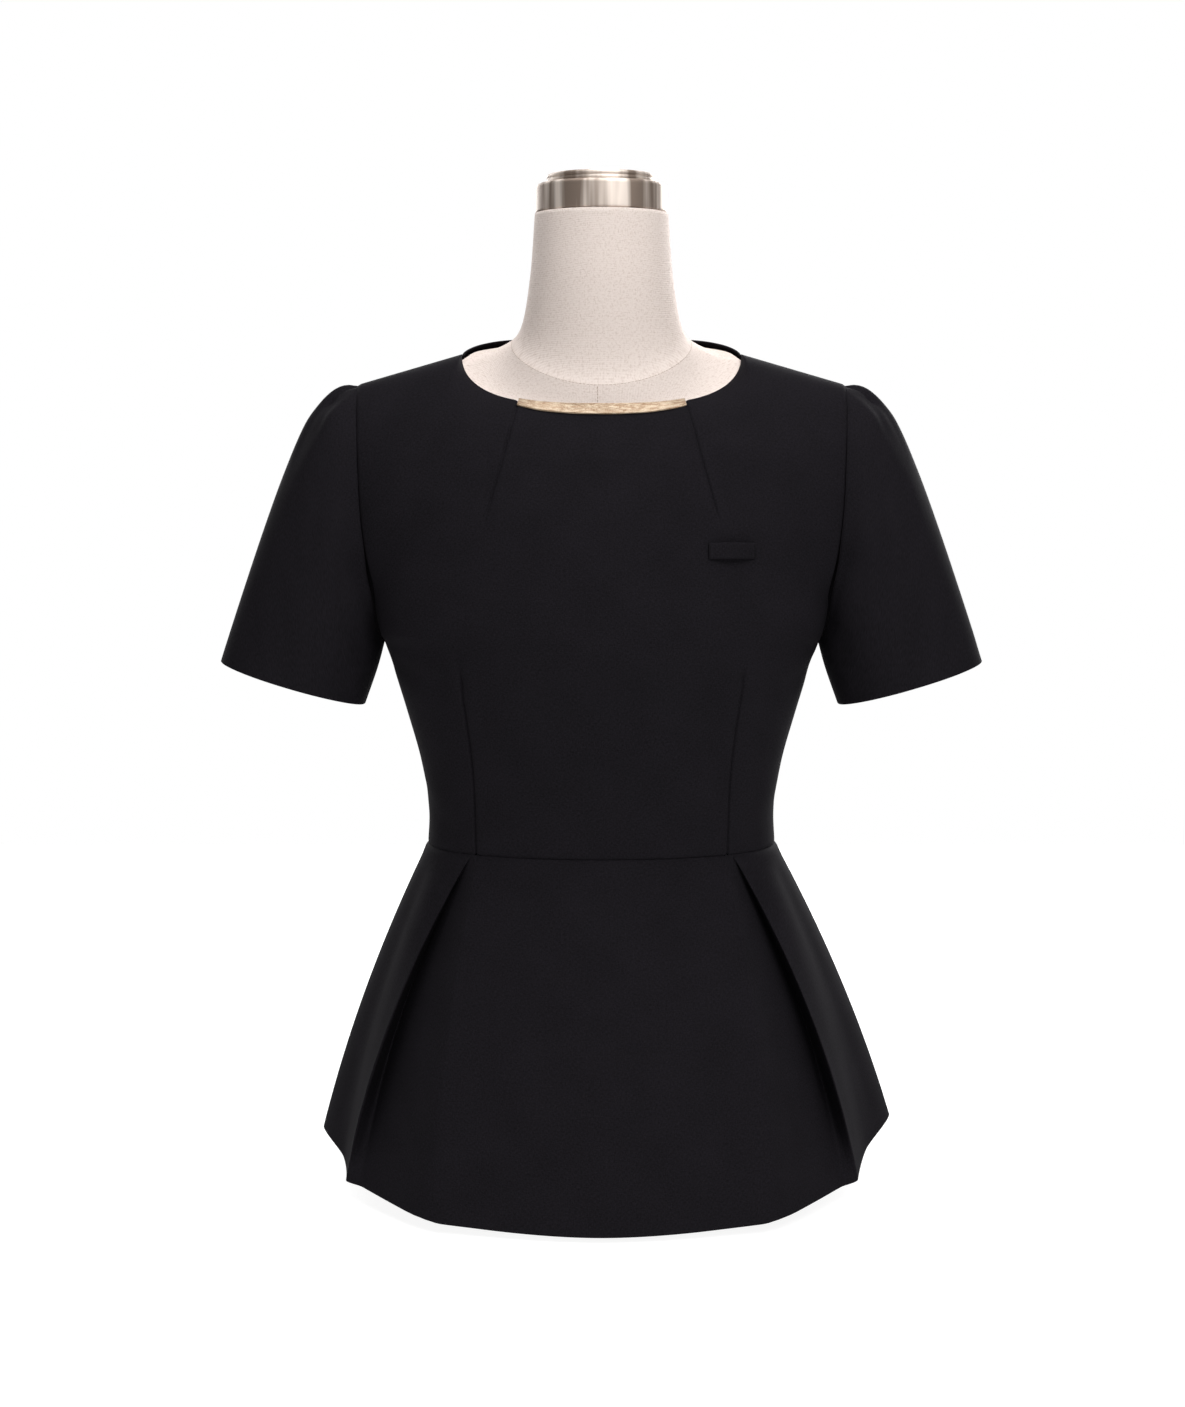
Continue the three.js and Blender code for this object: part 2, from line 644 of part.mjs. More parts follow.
function torsoGeometry() {
  const columns = frontColumns.filter((a) => Math.abs(Math.abs(a) - dartAcross) !== grooveHalf);
  const hips = hipSections.map(({ height }) => height);
  const rows = [...hips.map((height) => ({ height })), ...bodiceRows.map((up) => ({ up }))];
  const face = (side) =>
    rows.map(({ height, up }) =>
      columns.map((a) => (up === undefined ? hipPoint(side, a, height) : formBodicePoint(side, a, up))));
  const front = face(-1);
  const back = face(1);
  const positions = [];
  const triangles = [];
  const vertex = (place) => positions.push(...place.toArray()) / 3 - 1;
  const quad = (a, b, c, d) => {
    const [i, j, k, l] = [a, b, c, d].map(vertex);
    triangles.push(i, j, k, i, k, l);
  };
  const last = columns.length - 1;
  const plateSteps = 4;
  for (let r = 0; r < rows.length - 1; r += 1) {
    for (let c = 0; c < last; c += 1) {
      quad(front[r][c], front[r][c + 1], front[r + 1][c + 1], front[r + 1][c]);
      quad(back[r][c], back[r + 1][c], back[r + 1][c + 1], back[r][c + 1]);
    }
    for (let k = 0; k < plateSteps; k += 1) {
      const across = (row, c, step) => front[row][c].clone().lerp(back[row][c], step / plateSteps);
      quad(across(r, last, k), across(r, last, k + 1), across(r + 1, last, k + 1), across(r + 1, last, k));
      quad(across(r, 0, k + 1), across(r, 0, k), across(r + 1, 0, k), across(r + 1, 0, k + 1));
    }
  }
  const crownSteps = 6;
  const crown = (c, step) => {
    const share = step / crownSteps;
    const place = front.at(-1)[c].clone().lerp(back.at(-1)[c], share);
    const part = Math.min(Math.abs(place.x) / neckHalfWidth, 1);
    place.z += crownOfShoulders * (1 - part * part) ** 0.8 * Math.sin(Math.PI * share);
    return place;
  };
  for (let c = 0; c < last; c += 1) {
    quad(front[0][c], back[0][c], back[0][c + 1], front[0][c + 1]);
    const inside = Math.max(Math.abs(columns[c]), Math.abs(columns[c + 1])) <= neckAcross;
    for (let k = 0; inside && k < crownSteps; k += 1) {
      quad(crown(c, k), crown(c + 1, k), crown(c + 1, k + 1), crown(c, k + 1));
    }
  }
  return closedGeometry(positions, triangles);
}

function neckGeometry() {
  const sides = 32;
  const ring = ({ rise, radius }) =>
    Array.from({ length: sides }, (_, i) => {
      const angle = (2 * Math.PI * i) / sides;
      const middle = (neckSeamFront + neckSeamBack) / 2;
      const tilt = ((neckSeamBack - neckSeamFront) / 2) * Math.sin(angle);
      const seam = middle + tilt + neckSeamSideLift * Math.cos(angle) ** 2;
      const z = rise < 0 ? seam + rise : lerp(seam, neckTopHeight, rise);
      const shorten = lerp(neckShortening, 1, Math.max(rise, 0));
      const forward = neckForward * (1 - Math.max(rise, 0));
      return point(radius * Math.cos(angle), radius * shorten * Math.sin(angle) - forward, z);
    });
  const rings = neckProfile.map(ring);
  const positions = rings.flat().flatMap((place) => place.toArray());
  const triangles = [];
  for (let r = 0; r < rings.length - 1; r += 1) {
    for (let c = 0; c < sides; c += 1) {
      const next = (c + 1) % sides;
      const [a, b] = [r * sides + c, r * sides + next];
      triangles.push(a, b, b + sides, a, b + sides, a + sides);
    }
  }
  const centre = (r) => {
    const middle = rings[r].reduce((sum, place) => sum.add(place), point(0, 0, 0));
    return positions.push(...middle.divideScalar(sides).toArray()) / 3 - 1;
  };
  const [bottom, top] = [centre(0), centre(rings.length - 1)];
  const topStart = (rings.length - 1) * sides;
  for (let c = 0; c < sides; c += 1) {
    const next = (c + 1) % sides;
    triangles.push(bottom, next, c, top, topStart + c, topStart + next);
  }
  return closedGeometry(positions, triangles);
}

function toSolid(geometry) {
  const vertProperties = new Float32Array(geometry.attributes.position.array);
  const triVerts = new Uint32Array(geometry.index.array);
  return new wasm.Manifold(new wasm.Mesh({ numProp: 3, vertProperties, triVerts }));
}

function fromSolid(solid) {
  const { vertProperties, triVerts } = solid.getMesh();
  const geometry = new THREE.BufferGeometry();
  geometry.setAttribute("position", new THREE.Float32BufferAttribute(vertProperties, 3));
  geometry.setIndex(Array.from(triVerts));
  return geometry;
}

// three.js primitives with only their shared corners left, ready to join
function bare(geometry) {
  geometry.deleteAttribute("normal");
  geometry.deleteAttribute("uv");
  return BufferGeometryUtils.mergeVertices(geometry, 1e-4);
}

addMesh("form_torso", linen, fromSolid(toSolid(torsoGeometry()).add(toSolid(neckGeometry()))));

// Steel neck cap: a rounded band, and a smaller lipped disc on it
function latheBlock(bottom, top, radius, edge) {
  const arc = [0, 30, 60, 90].map((degrees) => {
    const angle = degToRad(degrees);
    const inward = edge * (1 - Math.cos(angle));
    return new THREE.Vector2(radius - inward, top - edge + edge * Math.sin(angle));
  });
  const profile = [new THREE.Vector2(0, bottom), new THREE.Vector2(radius, bottom), ...arc];
  profile.push(new THREE.Vector2(0, top));
  return new THREE.LatheGeometry(profile, 36).rotateX(Math.PI / 2);
}

addMesh("form_neck_cap_band", steel, latheBlock(capBandBottom, capBandTop, capBandRadius, capEdge));
const discBottom = capBandTop + seamGap;
addMesh("form_neck_cap_disc", steel, latheBlock(discBottom, capDiscTop, capDiscRadius, capEdge / 2));

// Zip slider and pull, built about the hinge pin: x across, y out from the cloth, z up the seam
const zipPlace = bodicePoint(1, 0, 1 + sliderShare);
const zipNormal = bodiceNormal(1, 0, 1 + sliderShare);
const zipLean = Math.atan2(zipNormal.z, zipNormal.y);
const zipPin = zipPlace.clone().addScaledVector(zipNormal, seamGap + pinStandOff);

function addAtZip(name, solid) {
  const mesh = addMesh(name, zipMetal, fromSolid(solid));
  mesh.position.copy(zipPin);
  mesh.rotation.x = zipLean;
}

function block(width, depth, height, x, y, z) {
  return toSolid(bare(new THREE.BoxGeometry(width, depth, height).translate(x, y, z)));
}

function rod(radius, length, sides, x = 0) {
  const cylinder = new THREE.CylinderGeometry(radius, radius, length, sides);
  return toSolid(bare(cylinder.rotateZ(Math.PI / 2).translate(x, 0, 0)));
}

function makeSlider() {
  const plateY = -pinStandOff + sliderThickness / 2;
  let slider = block(sliderWidth, sliderThickness, sliderLength, 0, plateY, 0);
  for (const hand of [-1, 1]) {
    const lugX = hand * (lugInside + lugThickness / 2);
    const lugDepth = pinStandOff - sliderThickness / 2;
    slider = slider.add(block(lugThickness, lugDepth, 2 * lugRadius, lugX, -lugDepth / 2, 0));
    slider = slider.add(rod(lugRadius, lugThickness, 16, lugX));
  }
  return slider.add(rod(pinRadius, 2 * lugInside + lugThickness, 16));
}

function makePull() {
  const tabLength = pullLength - pullStart;
  const tab = block(pullWidth, pullThickness, tabLength, 0, 0, -pullStart - tabLength / 2);
  const neck = block(eyeWidth, pullThickness, pullStart + 1, 0, 0, -(pullStart + 1) / 2);
  const eye = rod(eyeRadius, eyeWidth, 20).add(neck).add(tab);
  return eye.subtract(rod(eyeHoleRadius, 2 * pullWidth, 20));
}

addAtZip("zip_slider", makeSlider());
addAtZip("zip_pull", makePull());

export default group;
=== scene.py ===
import bmesh
import bpy
import numpy as np
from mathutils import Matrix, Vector


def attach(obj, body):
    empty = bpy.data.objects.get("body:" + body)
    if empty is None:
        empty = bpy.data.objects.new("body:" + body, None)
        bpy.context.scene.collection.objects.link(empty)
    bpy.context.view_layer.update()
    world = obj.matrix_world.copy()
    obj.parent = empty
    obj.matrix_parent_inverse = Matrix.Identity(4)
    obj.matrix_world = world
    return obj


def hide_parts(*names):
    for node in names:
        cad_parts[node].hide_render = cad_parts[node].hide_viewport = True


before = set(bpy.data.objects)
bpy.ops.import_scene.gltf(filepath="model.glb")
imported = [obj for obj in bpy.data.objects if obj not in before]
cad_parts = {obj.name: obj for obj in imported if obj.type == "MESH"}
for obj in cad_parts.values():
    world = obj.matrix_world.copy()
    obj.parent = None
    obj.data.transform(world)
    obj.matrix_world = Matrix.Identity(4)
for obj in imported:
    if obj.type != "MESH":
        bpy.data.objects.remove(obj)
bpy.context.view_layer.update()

# Bodice front: one panel of black wool suiting, shaped by a dart each side from the waist to the
# bust and another from the neckline, seamed to the backs at the sides and the shoulders.
MM = 0.001
WAIST, UNDERARM, FAN, SHOULDER_TIP, NECK_POINT = 251, 401, 533, 588, 610
FRONT_NECK, BACK_NECK = 572, 624
SIDE_SEAM_Y, SHOULDER_HALF, NECK_HALF, NECK_DART_HALF = 4, 178, 102, 59
DART, NECK = 0.38, 0.66
ARMHOLE_DEPTHS = {-1: 56, 1: 58}
NECK_DEPTHS = {-1: -70, 1: 58}
BACK_LIFT = 20
BODICE_HEIGHTS = [251, 275, 311, 346, 382, 401, 445, 490, 533]
BODICE_HALF_WIDTHS = [128.6, 127.8, 133, 142.5, 153.5, 160, 167, 172.5, 175]
BODICE_FRONTS = [95, 96, 100, 108, 114, 115, 112, 104, 90]
BODICE_BACKS = [80, 82, 87, 93, 99, 102, 106, 107, 100]
BODICE_DARTS = [90.6, 91, 92.3, 96, 101, 102.5, 94, 82, 70]
ARMHOLE_MIDDLE, ARMHOLE_HALF = (SHOULDER_TIP + UNDERARM) / 2, (SHOULDER_TIP - UNDERARM) / 2
FAN_ANGLE = np.arccos((FAN - ARMHOLE_MIDDLE) / ARMHOLE_HALF)
CLOTH = 1.1


def smoothstep(value, low, high):
    share = np.clip((value - low) / (high - low), 0, 1)
    return share * share * (3 - 2 * share)


def hermite(start, end, start_slope, end_slope, span, share):
    square, cube = share**2, share**3
    ends = start * (2 * cube - 3 * square + 1) + end * (3 * square - 2 * cube)
    return ends + span * (start_slope * (cube - 2 * square + share) + end_slope * (cube - square))


def smooth_curve(keys, values, at):
    """A smooth curve through the values at the keys, read at any places between them."""
    keys, values = np.asarray(keys, float), np.asarray(values, float)
    at = np.clip(np.asarray(at, float), keys[0], keys[-1])
    i = np.clip(np.searchsorted(keys, at, side="left") - 1, 0, len(keys) - 2)
    span = np.diff(keys)
    chord = np.diff(values) / span
    middle = (values[2:] - values[:-2]) / (keys[2:] - keys[:-2])
    start_slope = np.concatenate([chord[:1], middle])[i]
    end_slope = np.concatenate([middle, chord[-1:]])[i]
    share = (at - keys[i]) / span[i]
    return hermite(values[i], values[i + 1], start_slope, end_slope, span[i], share)


def armhole_edge(side, height):
    cosine = np.clip((height - ARMHOLE_MIDDLE) / ARMHOLE_HALF, -1, 1)
    depth = side * ARMHOLE_DEPTHS[side]
    return SIDE_SEAM_Y + np.where(height > UNDERARM, depth * np.sqrt(1 - cosine**2), 0)


def section_frame(height):
    chest = smoothstep(height, UNDERARM, UNDERARM + 70)
    widest = np.radians(90 - 35 * chest)
    half_width = smooth_curve(BODICE_HEIGHTS, BODICE_HALF_WIDTHS, height)
    dart = smooth_curve(BODICE_HEIGHTS, BODICE_DARTS, height)
    return chest, widest, half_width, np.arcsin(dart / half_width * np.sin(widest))


def section_point(side, across, height):
    chest, widest, half_width, dart_angle = section_frame(height)
    share = np.abs(across)
    outer = dart_angle + (widest - dart_angle) * (share - DART) / (1 - DART)
    angle = np.where(share <= DART, dart_angle * share / DART, outer)
    fronts_or_backs = BODICE_FRONTS if side < 0 else BODICE_BACKS
    centre = side * smooth_curve(BODICE_HEIGHTS, fronts_or_backs, height)
    edge = armhole_edge(side, height)
    rise = np.clip((np.cos(angle) - np.cos(widest)) / (1 - np.cos(widest)), 0, None)
    x = np.sign(across) * half_width * np.sin(angle) / np.sin(widest)
    return x, edge + (centre - edge) * rise ** (0.85 + 0.15 * chest)


def top_edge_point(side, across, back_lift):
    share, sign = np.abs(across), np.sign(across)
    part = (share - NECK) / (1 - NECK)
    dart_angle = np.arcsin(NECK_DART_HALF / NECK_HALF)
    to_dart = dart_angle * share / DART
    past_dart = dart_angle + (np.pi / 2 - dart_angle) * (share - DART) / (NECK - DART)
    angle = np.where(share <= DART, to_dart, past_dart)
    on_shoulder = share > NECK
    cosine = np.where(on_shoulder, 0, np.cos(angle))
    shoulder_x = NECK_HALF + (SHOULDER_HALF - NECK_HALF) * part
    x = sign * np.where(on_shoulder, shoulder_x, NECK_HALF * np.sin(angle))
    if side < 0:
        neck_z = FRONT_NECK + (NECK_POINT - FRONT_NECK) * np.clip(1 - cosine, 0, 1) ** 1.45
    else:
        neck_z = NECK_POINT + (BACK_NECK - NECK_POINT) * cosine + back_lift * cosine**2 * (1 - cosine)
    shoulder_z = NECK_POINT + (SHOULDER_TIP - NECK_POINT) * part
    return x, SIDE_SEAM_Y + NECK_DEPTHS[side] * cosine, np.where(on_shoulder, shoulder_z, neck_z)


def bodice_point(side, across, up, back_lift=BACK_LIFT):
    """across is 0 at the centre and 1 at the side seam; up is 1 at the armhole's fan, 2 at the neck."""
    across, up = np.broadcast_arrays(np.asarray(across, float), np.asarray(up, float))
    height = WAIST + (FAN - WAIST) * np.minimum(up, 1)
    base_x, base_y = section_point(side, across, height)
    top_x, top_y, top_z = top_edge_point(side, across, back_lift)
    fan = np.clip(up - 1, 0, 1)
    round_share = smoothstep(np.abs(across), 0, NECK)
    angle = FAN_ANGLE * (1 - fan)
    turn_up = (np.cos(angle) - np.cos(FAN_ANGLE)) / (1 - np.cos(FAN_ANGLE))
    turn_in = np.sin(angle) / np.sin(FAN_ANGLE)
    rise = fan + (turn_up - fan) * round_share
    fall = (1 - fan) + (turn_in - (1 - fan)) * round_share
    x = base_x + (top_x - base_x) * rise
    y = top_y + (base_y - top_y) * fall
    return np.stack([x, y, height + (top_z - height) * rise], -1)


def unit(vectors):
    return vectors / np.maximum(np.linalg.norm(vectors, axis=-1, keepdims=True), 1e-9)


def grid_normals(points, facing, wraps=False):
    """Unit normals of a grid of points; facing is 1 or -1, whichever makes them look out."""
    if wraps:
        across = np.roll(points, -1, 1) - np.roll(points, 1, 1)
    else:
        across = np.gradient(points, axis=1)
    return facing * unit(np.cross(across, np.gradient(points, axis=0)))


def from_edge(points, edge):
    """Distance of each point of a grid from one of its edges, along the cloth."""
    axis = 0 if edge in ("bottom", "top") else 1
    steps = np.linalg.norm(np.diff(points, axis=axis), axis=-1)
    start = np.zeros_like(points[..., 0].take([0], axis))
    length = np.concatenate([start, np.cumsum(steps, axis)], axis)
    return length if edge in ("bottom", "left") else length.take([-1], axis) - length


def seamed(points, normals, edges, depth=0.6, reach=1.2):
    """Rolls the cloth in at its sewn edges, as a pressed seam does."""
    for edge in edges:
        roll = depth * np.exp(-((from_edge(points, edge) / reach) ** 2))
        points = points - normals * roll[..., None]
    return points


def creased(points, normals, creases, surface):
    """Soft troughs and ridges, each from one place on the cloth to another: half width, heights."""
    lift = np.zeros(points.shape[:2])
    for (a0, b0), (a1, b1), half, start_height, end_height in creases:
        share = np.linspace(0, 1, 70)
        path = surface(a0 + (a1 - a0) * share, b0 + (b1 - b0) * share)
        nearest, place = np.full(lift.shape, 1e9), np.zeros(lift.shape)
        for step, spot in zip(share, path):
            distance = np.linalg.norm(points - spot, axis=-1)
            closer = distance < nearest
            nearest[closer] = distance[closer]
            place[closer] = step
        height = start_height + (end_height - start_height) * place
        lift += height * np.exp(-((nearest / half) ** 2))
    return points + normals * lift[..., None]


def cloth_shell(name, outer, facing, wraps=False, thickness=CLOTH):
    """A closed thin wall of cloth under a grid of points in millimetres, with rounded edges."""
    normals = grid_normals(outer, facing, wraps)
    inner = outer - normals * thickness
    rows, columns = outer.shape[:2]
    place = np.arange(rows * columns).reshape(rows, columns)
    right = np.roll(place, -1, 1) if wraps else place[:, 1:]
    left = place if wraps else place[:, :-1]
    face = np.stack([left[:-1], right[:-1], right[1:], left[1:]], -1).reshape(-1, 4)
    count = rows * columns
    faces = [face, face[:, ::-1] + count]
    out = [outer[0] - outer[1], outer[-1] - outer[-2]]
    if wraps:
        loops = [(place[0], out[0]), (place[-1][::-1], out[1][::-1])]
    else:
        side_out = [outer[:, 0] - outer[:, 1], outer[:, -1] - outer[:, -2]]
        loop = [place[0, :-1], place[:-1, -1], place[-1, :0:-1], place[:0:-1, 0]]
        push = [out[0][:-1], side_out[1][:-1], out[1][:0:-1], side_out[0][:0:-1]]
        loops = [(np.concatenate(loop), np.concatenate(push))]
    middles, start = [], 2 * count
    flat_outer, flat_inner = outer.reshape(-1, 3), inner.reshape(-1, 3)
    for ring, push in loops:
        middle = (flat_outer[ring] + flat_inner[ring]) / 2 + unit(push) * thickness * 0.45
        middles.append(middle)
        rim = start + np.arange(len(ring))
        following, rim_next = np.roll(ring, -1), np.roll(rim, -1)
        faces.append(np.stack([following, ring, rim, rim_next], -1))
        faces.append(np.stack([rim_next, rim, ring + count, following + count], -1))
        start += len(ring)
    corners = np.concatenate([flat_outer, flat_inner, *middles]) * MM
    return make_mesh(name, corners, np.concatenate(faces), grid_lay(outer, wraps))


def grid_lay(outer, wraps):
    """Where each point lies on the flat cloth, in metres: along the weft and up the warp."""
    weft = from_edge(outer, "left")
    middle = 0 if wraps else outer.shape[1] // 2
    weft = (weft - weft[:, [middle]]) * MM
    warp = from_edge(outer, "bottom") * MM
    return np.stack([weft, warp], -1).reshape(-1, 2)


def put_in_scene(name, data):
    piece = bpy.data.objects.new(name, data)
    bpy.context.scene.collection.objects.link(piece)
    return piece


def smooth_shaded(mesh):
    mesh.polygons.foreach_set("use_smooth", np.ones(len(mesh.polygons), bool))


def lay_cloth(mesh, places):
    used = np.zeros(len(mesh.loops), np.int32)
    mesh.loops.foreach_get("vertex_index", used)
    uv = mesh.uv_layers.new(name="cloth_lay")
    uv.data.foreach_set("uv", places[used].astype(np.float32).ravel())


def make_mesh(name, corners, faces, lay=None):
    first = corners[np.array([face[:3] for face in faces], int)]
    volume = np.einsum("ij,ij->i", first[:, 0], np.cross(first[:, 1], first[:, 2])).sum()
    faces = [[int(k) for k in (face[::-1] if volume < 0 else face)] for face in faces]
    mesh = bpy.data.meshes.new(name)
    mesh.from_pydata(corners.tolist(), [], faces)
    smooth_shaded(mesh)
    if lay is not None:
        spread = np.zeros((len(corners), 2))
        repeats = np.tile(lay, (2, 1))
        spread[: len(repeats)] = repeats
        lay_cloth(mesh, spread)
    mesh.validate()
    return put_in_scene(name, mesh)


def linear(code):
    """An sRGB hex colour as the linear colour that shaders take."""
    channels = [int(code[i : i + 2], 16) / 255 for i in (1, 3, 5)]
    return [c / 12.92 if c <= 0.04045 else ((c + 0.055) / 1.055) ** 2.4 for c in channels] + [1]


def add_node(tree, kind, inputs=None, **settings):
    """Adds a node; an input is a value, or an output of another node to link."""
    node = tree.nodes.new(kind)
    for name, value in settings.items():
        setattr(node, name, value)
    for name, value in (inputs or {}).items():
        if isinstance(value, bpy.types.NodeSocket):
            tree.links.new(value, node.inputs[name])
        else:
            node.inputs[name].default_value = value
    return node


def new_material(name):
    material = bpy.data.materials.new(name)
    material.use_nodes = True
    tree = material.node_tree
    return material, tree, tree.nodes["Principled BSDF"]


# Worsted wool suiting, piece-dyed black and pressed: a matt surface with next to no shine. The yarns
# are 0.5 mm apart, drawn about 0.8 mm apart so that the grain can be seen.
suiting, tree, shader = new_material("worsted_wool_suiting_black")
lay = add_node(tree, "ShaderNodeTexCoord").outputs["UV"]
weft_lay = add_node(tree, "ShaderNodeMapping", {"Vector": lay, "Scale": (520, 1250, 1)})
warp_lay = add_node(tree, "ShaderNodeMapping", {"Vector": lay, "Scale": (1250, 520, 1)})
weft = add_node(tree, "ShaderNodeTexNoise", {"Vector": weft_lay.outputs["Vector"], "Scale": 1, "Detail": 2})
warp = add_node(tree, "ShaderNodeTexNoise", {"Vector": warp_lay.outputs["Vector"], "Scale": 1, "Detail": 2})
cloud = add_node(tree, "ShaderNodeTexNoise", {"Vector": lay, "Scale": 30, "Detail": 3})
grain = add_node(
    tree, "ShaderNodeMath", {0: weft.outputs["Fac"], 1: warp.outputs["Fac"]}, operation="ADD"
)
tone = add_node(
    tree, "ShaderNodeMath",
    {0: cloud.outputs["Fac"], 1: 0.35, 2: grain.outputs[0]}, operation="MULTIPLY_ADD",
)
shade = add_node(tree, "ShaderNodeMapRange", {"Value": tone.outputs[0], "From Min": 0.85, "From Max": 1.5})
tint = add_node(
    tree, "ShaderNodeMix", {0: shade.outputs["Result"], 6: linear("#131214"), 7: linear("#1e1c20")},
    data_type="RGBA",
)
bump = add_node(
    tree, "ShaderNodeBump", {"Height": grain.outputs[0], "Strength": 0.2, "Distance": 0.0004}
)
tree.links.new(tint.outputs[2], shader.inputs["Base Color"])
tree.links.new(bump.outputs["Normal"], shader.inputs["Normal"])
shader.inputs["Roughness"].default_value = 0.9
shader.inputs["Specular IOR Level"].default_value = 0.02


def dress(piece, material, nodes=(), body="top_on_form"):
    piece.data.materials.clear()
    piece.data.materials.append(material)
    if nodes:
        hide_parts(*nodes)
    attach(piece, body)
    return piece


near_seam = np.array([0.0025, 0.006, 0.01, 0.016, 0.025])
near_dart = np.array([-0.022, -0.013, -0.008, -0.005, -0.0025, 0.0025, 0.005, 0.008, 0.013, 0.022])
half_across = np.unique(
    np.concatenate([np.linspace(0, 1, 61), [DART, NECK], DART + near_dart, 1 - near_seam])
)
front_across = np.concatenate([-half_across[:0:-1], half_across])
bodice_up = np.unique(
    np.concatenate([np.linspace(0, 1, 76), np.linspace(1, 2, 34), near_seam, 2 - 4 * near_seam])
)


DART_SPREAD = 165
WAIST_DART_TIP = (372, 394)
NECK_DART_TIP = (484, 502)


def dart_lines(side, points, normals, across, up):
    """Pressed darts: a fine sunk line with a soft fold of the allowance beside it, fading out at the tip."""
    height = WAIST + (FAN - WAIST) * np.minimum(up, 1)
    off = (np.abs(across) - DART) * DART_SPREAD
    waist_part = 1 - smoothstep(height, *WAIST_DART_TIP)
    neck_part = 0.8 * smoothstep(height, *NECK_DART_TIP) if side < 0 else np.zeros_like(height)
    strength = waist_part + neck_part
    line = -1.8 * np.exp(-((off / 0.85) ** 2)) + 0.55 * np.exp(-(((off + 3.6) / 2.6) ** 2))
    return points + normals * (line * strength)[..., None]


def bodice_panel(side, across, creases, edges):
    columns, rows = np.meshgrid(across, bodice_up)
    points = bodice_point(side, columns, rows)
    facing = -side
    normals = grid_normals(points, facing)
    points = creased(points, normals, creases, lambda a, b: bodice_point(side, a, b))
    points = dart_lines(side, points, normals, columns, rows)
    return seamed(points, normals, edges), facing


# Each crease: from (across, up) to (across, up), half width in millimetres, height at each end
front_creases = [
    ((0.06, 0.42), (-0.30, 0.36), 12, -1.2, -0.4),
    ((-0.50, 0.43), (-0.92, 0.50), 10, -2.0, -1.2),
    ((0.52, 0.41), (0.93, 0.47), 9, -1.6, -1.2),
    ((-0.375, 0.44), (-0.385, 0.55), 5, -1.6, -0.4),
    ((0.375, 0.45), (0.385, 0.56), 5, -1.4, -0.4),
    ((-0.40, 0.90), (-0.43, 1.02), 5, -0.5, -1.0),
    ((0.41, 0.88), (0.43, 1.00), 5, -0.4, -0.9),
    ((-0.60, 0.06), (-0.95, 0.15), 8, -0.9, -0.4),
    ((0.58, 0.05), (0.95, 0.12), 9, -0.7, -0.5),
    ((0.72, 0.83), (0.97, 0.66), 12, -1.2, -2.0),
    ((-0.70, 0.86), (-0.97, 0.67), 13, -1.0, -1.9),
    ((-0.55, 1.05), (-0.75, 0.92), 16, 0.8, 0.3),
    ((0.50, 1.02), (0.74, 0.90), 15, 0.7, 0.4),
    ((-0.12, 0.09), (-0.30, 0.13), 10, 0.6, 0.2),
    ((0.20, 0.08), (0.31, 0.13), 9, 0.5, 0.2),
]
front_points, facing = bodice_panel(-1, front_across, front_creases, ["bottom", "top", "left", "right"])
bodice_front = dress(
    cloth_shell("bodice_front_cloth", front_points, facing), suiting, ["bodice_front"]
)

# Bodice backs: a right and a left panel of the same suiting, each with a dart from the waist, joined
# down the centre back by a concealed zip, so their meeting edges are pressed rather than stitched.
back_creases = [
    ((0.10, 0.30), (0.85, 0.24), 11, -0.9, -1.1),
    ((0.20, 0.12), (0.90, 0.10), 9, -0.8, -1.0),
    ((0.30, 0.62), (0.92, 0.58), 14, -0.6, -1.6),
    ((0.75, 0.82), (0.97, 0.66), 12, -1.0, -1.8),
    ((0.45, 1.0), (0.80, 0.90), 18, 0.8, 0.3),
]
left_back_creases = [
    ((-0.12, 0.27), (-0.85, 0.27), 12, -1.0, -1.0),
    ((-0.16, 0.13), (-0.92, 0.08), 8, -0.7, -1.1),
    ((-0.34, 0.64), (-0.93, 0.57), 13, -0.7, -1.5),
    ((-0.73, 0.84), (-0.97, 0.67), 13, -0.9, -1.9),
    ((-0.40, 1.03), (-0.80, 0.88), 17, 0.9, 0.3),
]
centre_across = np.unique(np.concatenate([half_across, near_seam]))
for name, across, creases in [
    ("right", centre_across, back_creases),
    ("left", -centre_across[::-1], left_back_creases),
]:
    points, facing = bodice_panel(1, across, creases, ["bottom", "top", "left", "right"])
    panel = cloth_shell(f"bodice_back_{name}_cloth", points, facing)
    dress(panel, suiting, [f"bodice_back_{name}"])

# Neck trim: a flat woven ribbon of gold metallised yarn with a selvedge each side, stitched over the
# front neckline between the two neck darts.
TRIM_WIDTH, TRIM_STAND, TRIM_THICKNESS = 9.2, 1.25, 0.9
trim_across = front_across[np.abs(front_across) < DART - 0.001]
trim_shares = np.array([1, 0.985, 0.96, 0.92, 0.86, 0.75, 0.6, 0.5, 0.4, 0.25, 0.14, 0.08, 0.04, 0.015, 0])
trim_up = np.linspace(1.5, 2, 60)
whole_column = bodice_point(-1, *np.meshgrid(trim_across, trim_up))
below_edge = from_edge(whole_column, "top")
columns = np.broadcast_to(trim_across, (len(trim_shares), len(trim_across)))
rows = np.stack(
    [np.interp(trim_shares * TRIM_WIDTH, below[::-1], trim_up[::-1]) for below in below_edge.T], 1
)
trim_points = bodice_point(-1, columns, rows)
trim_normals = grid_normals(trim_points, 1)
across_band = np.abs(trim_shares[:, None] - 0.5) * 2
selvedge = 0.25 * np.exp(-(((across_band - 0.86) / 0.07) ** 2)) - 0.3 * smoothstep(across_band, 0.93, 1)
ripple = 0.12 * np.sin(columns * 41) * np.sin(rows * 90)
trim_points = trim_points + trim_normals * (TRIM_STAND + selvedge + ripple)[..., None]
neck_trim = cloth_shell("neck_trim_ribbon", trim_points, 1, thickness=TRIM_THICKNESS)
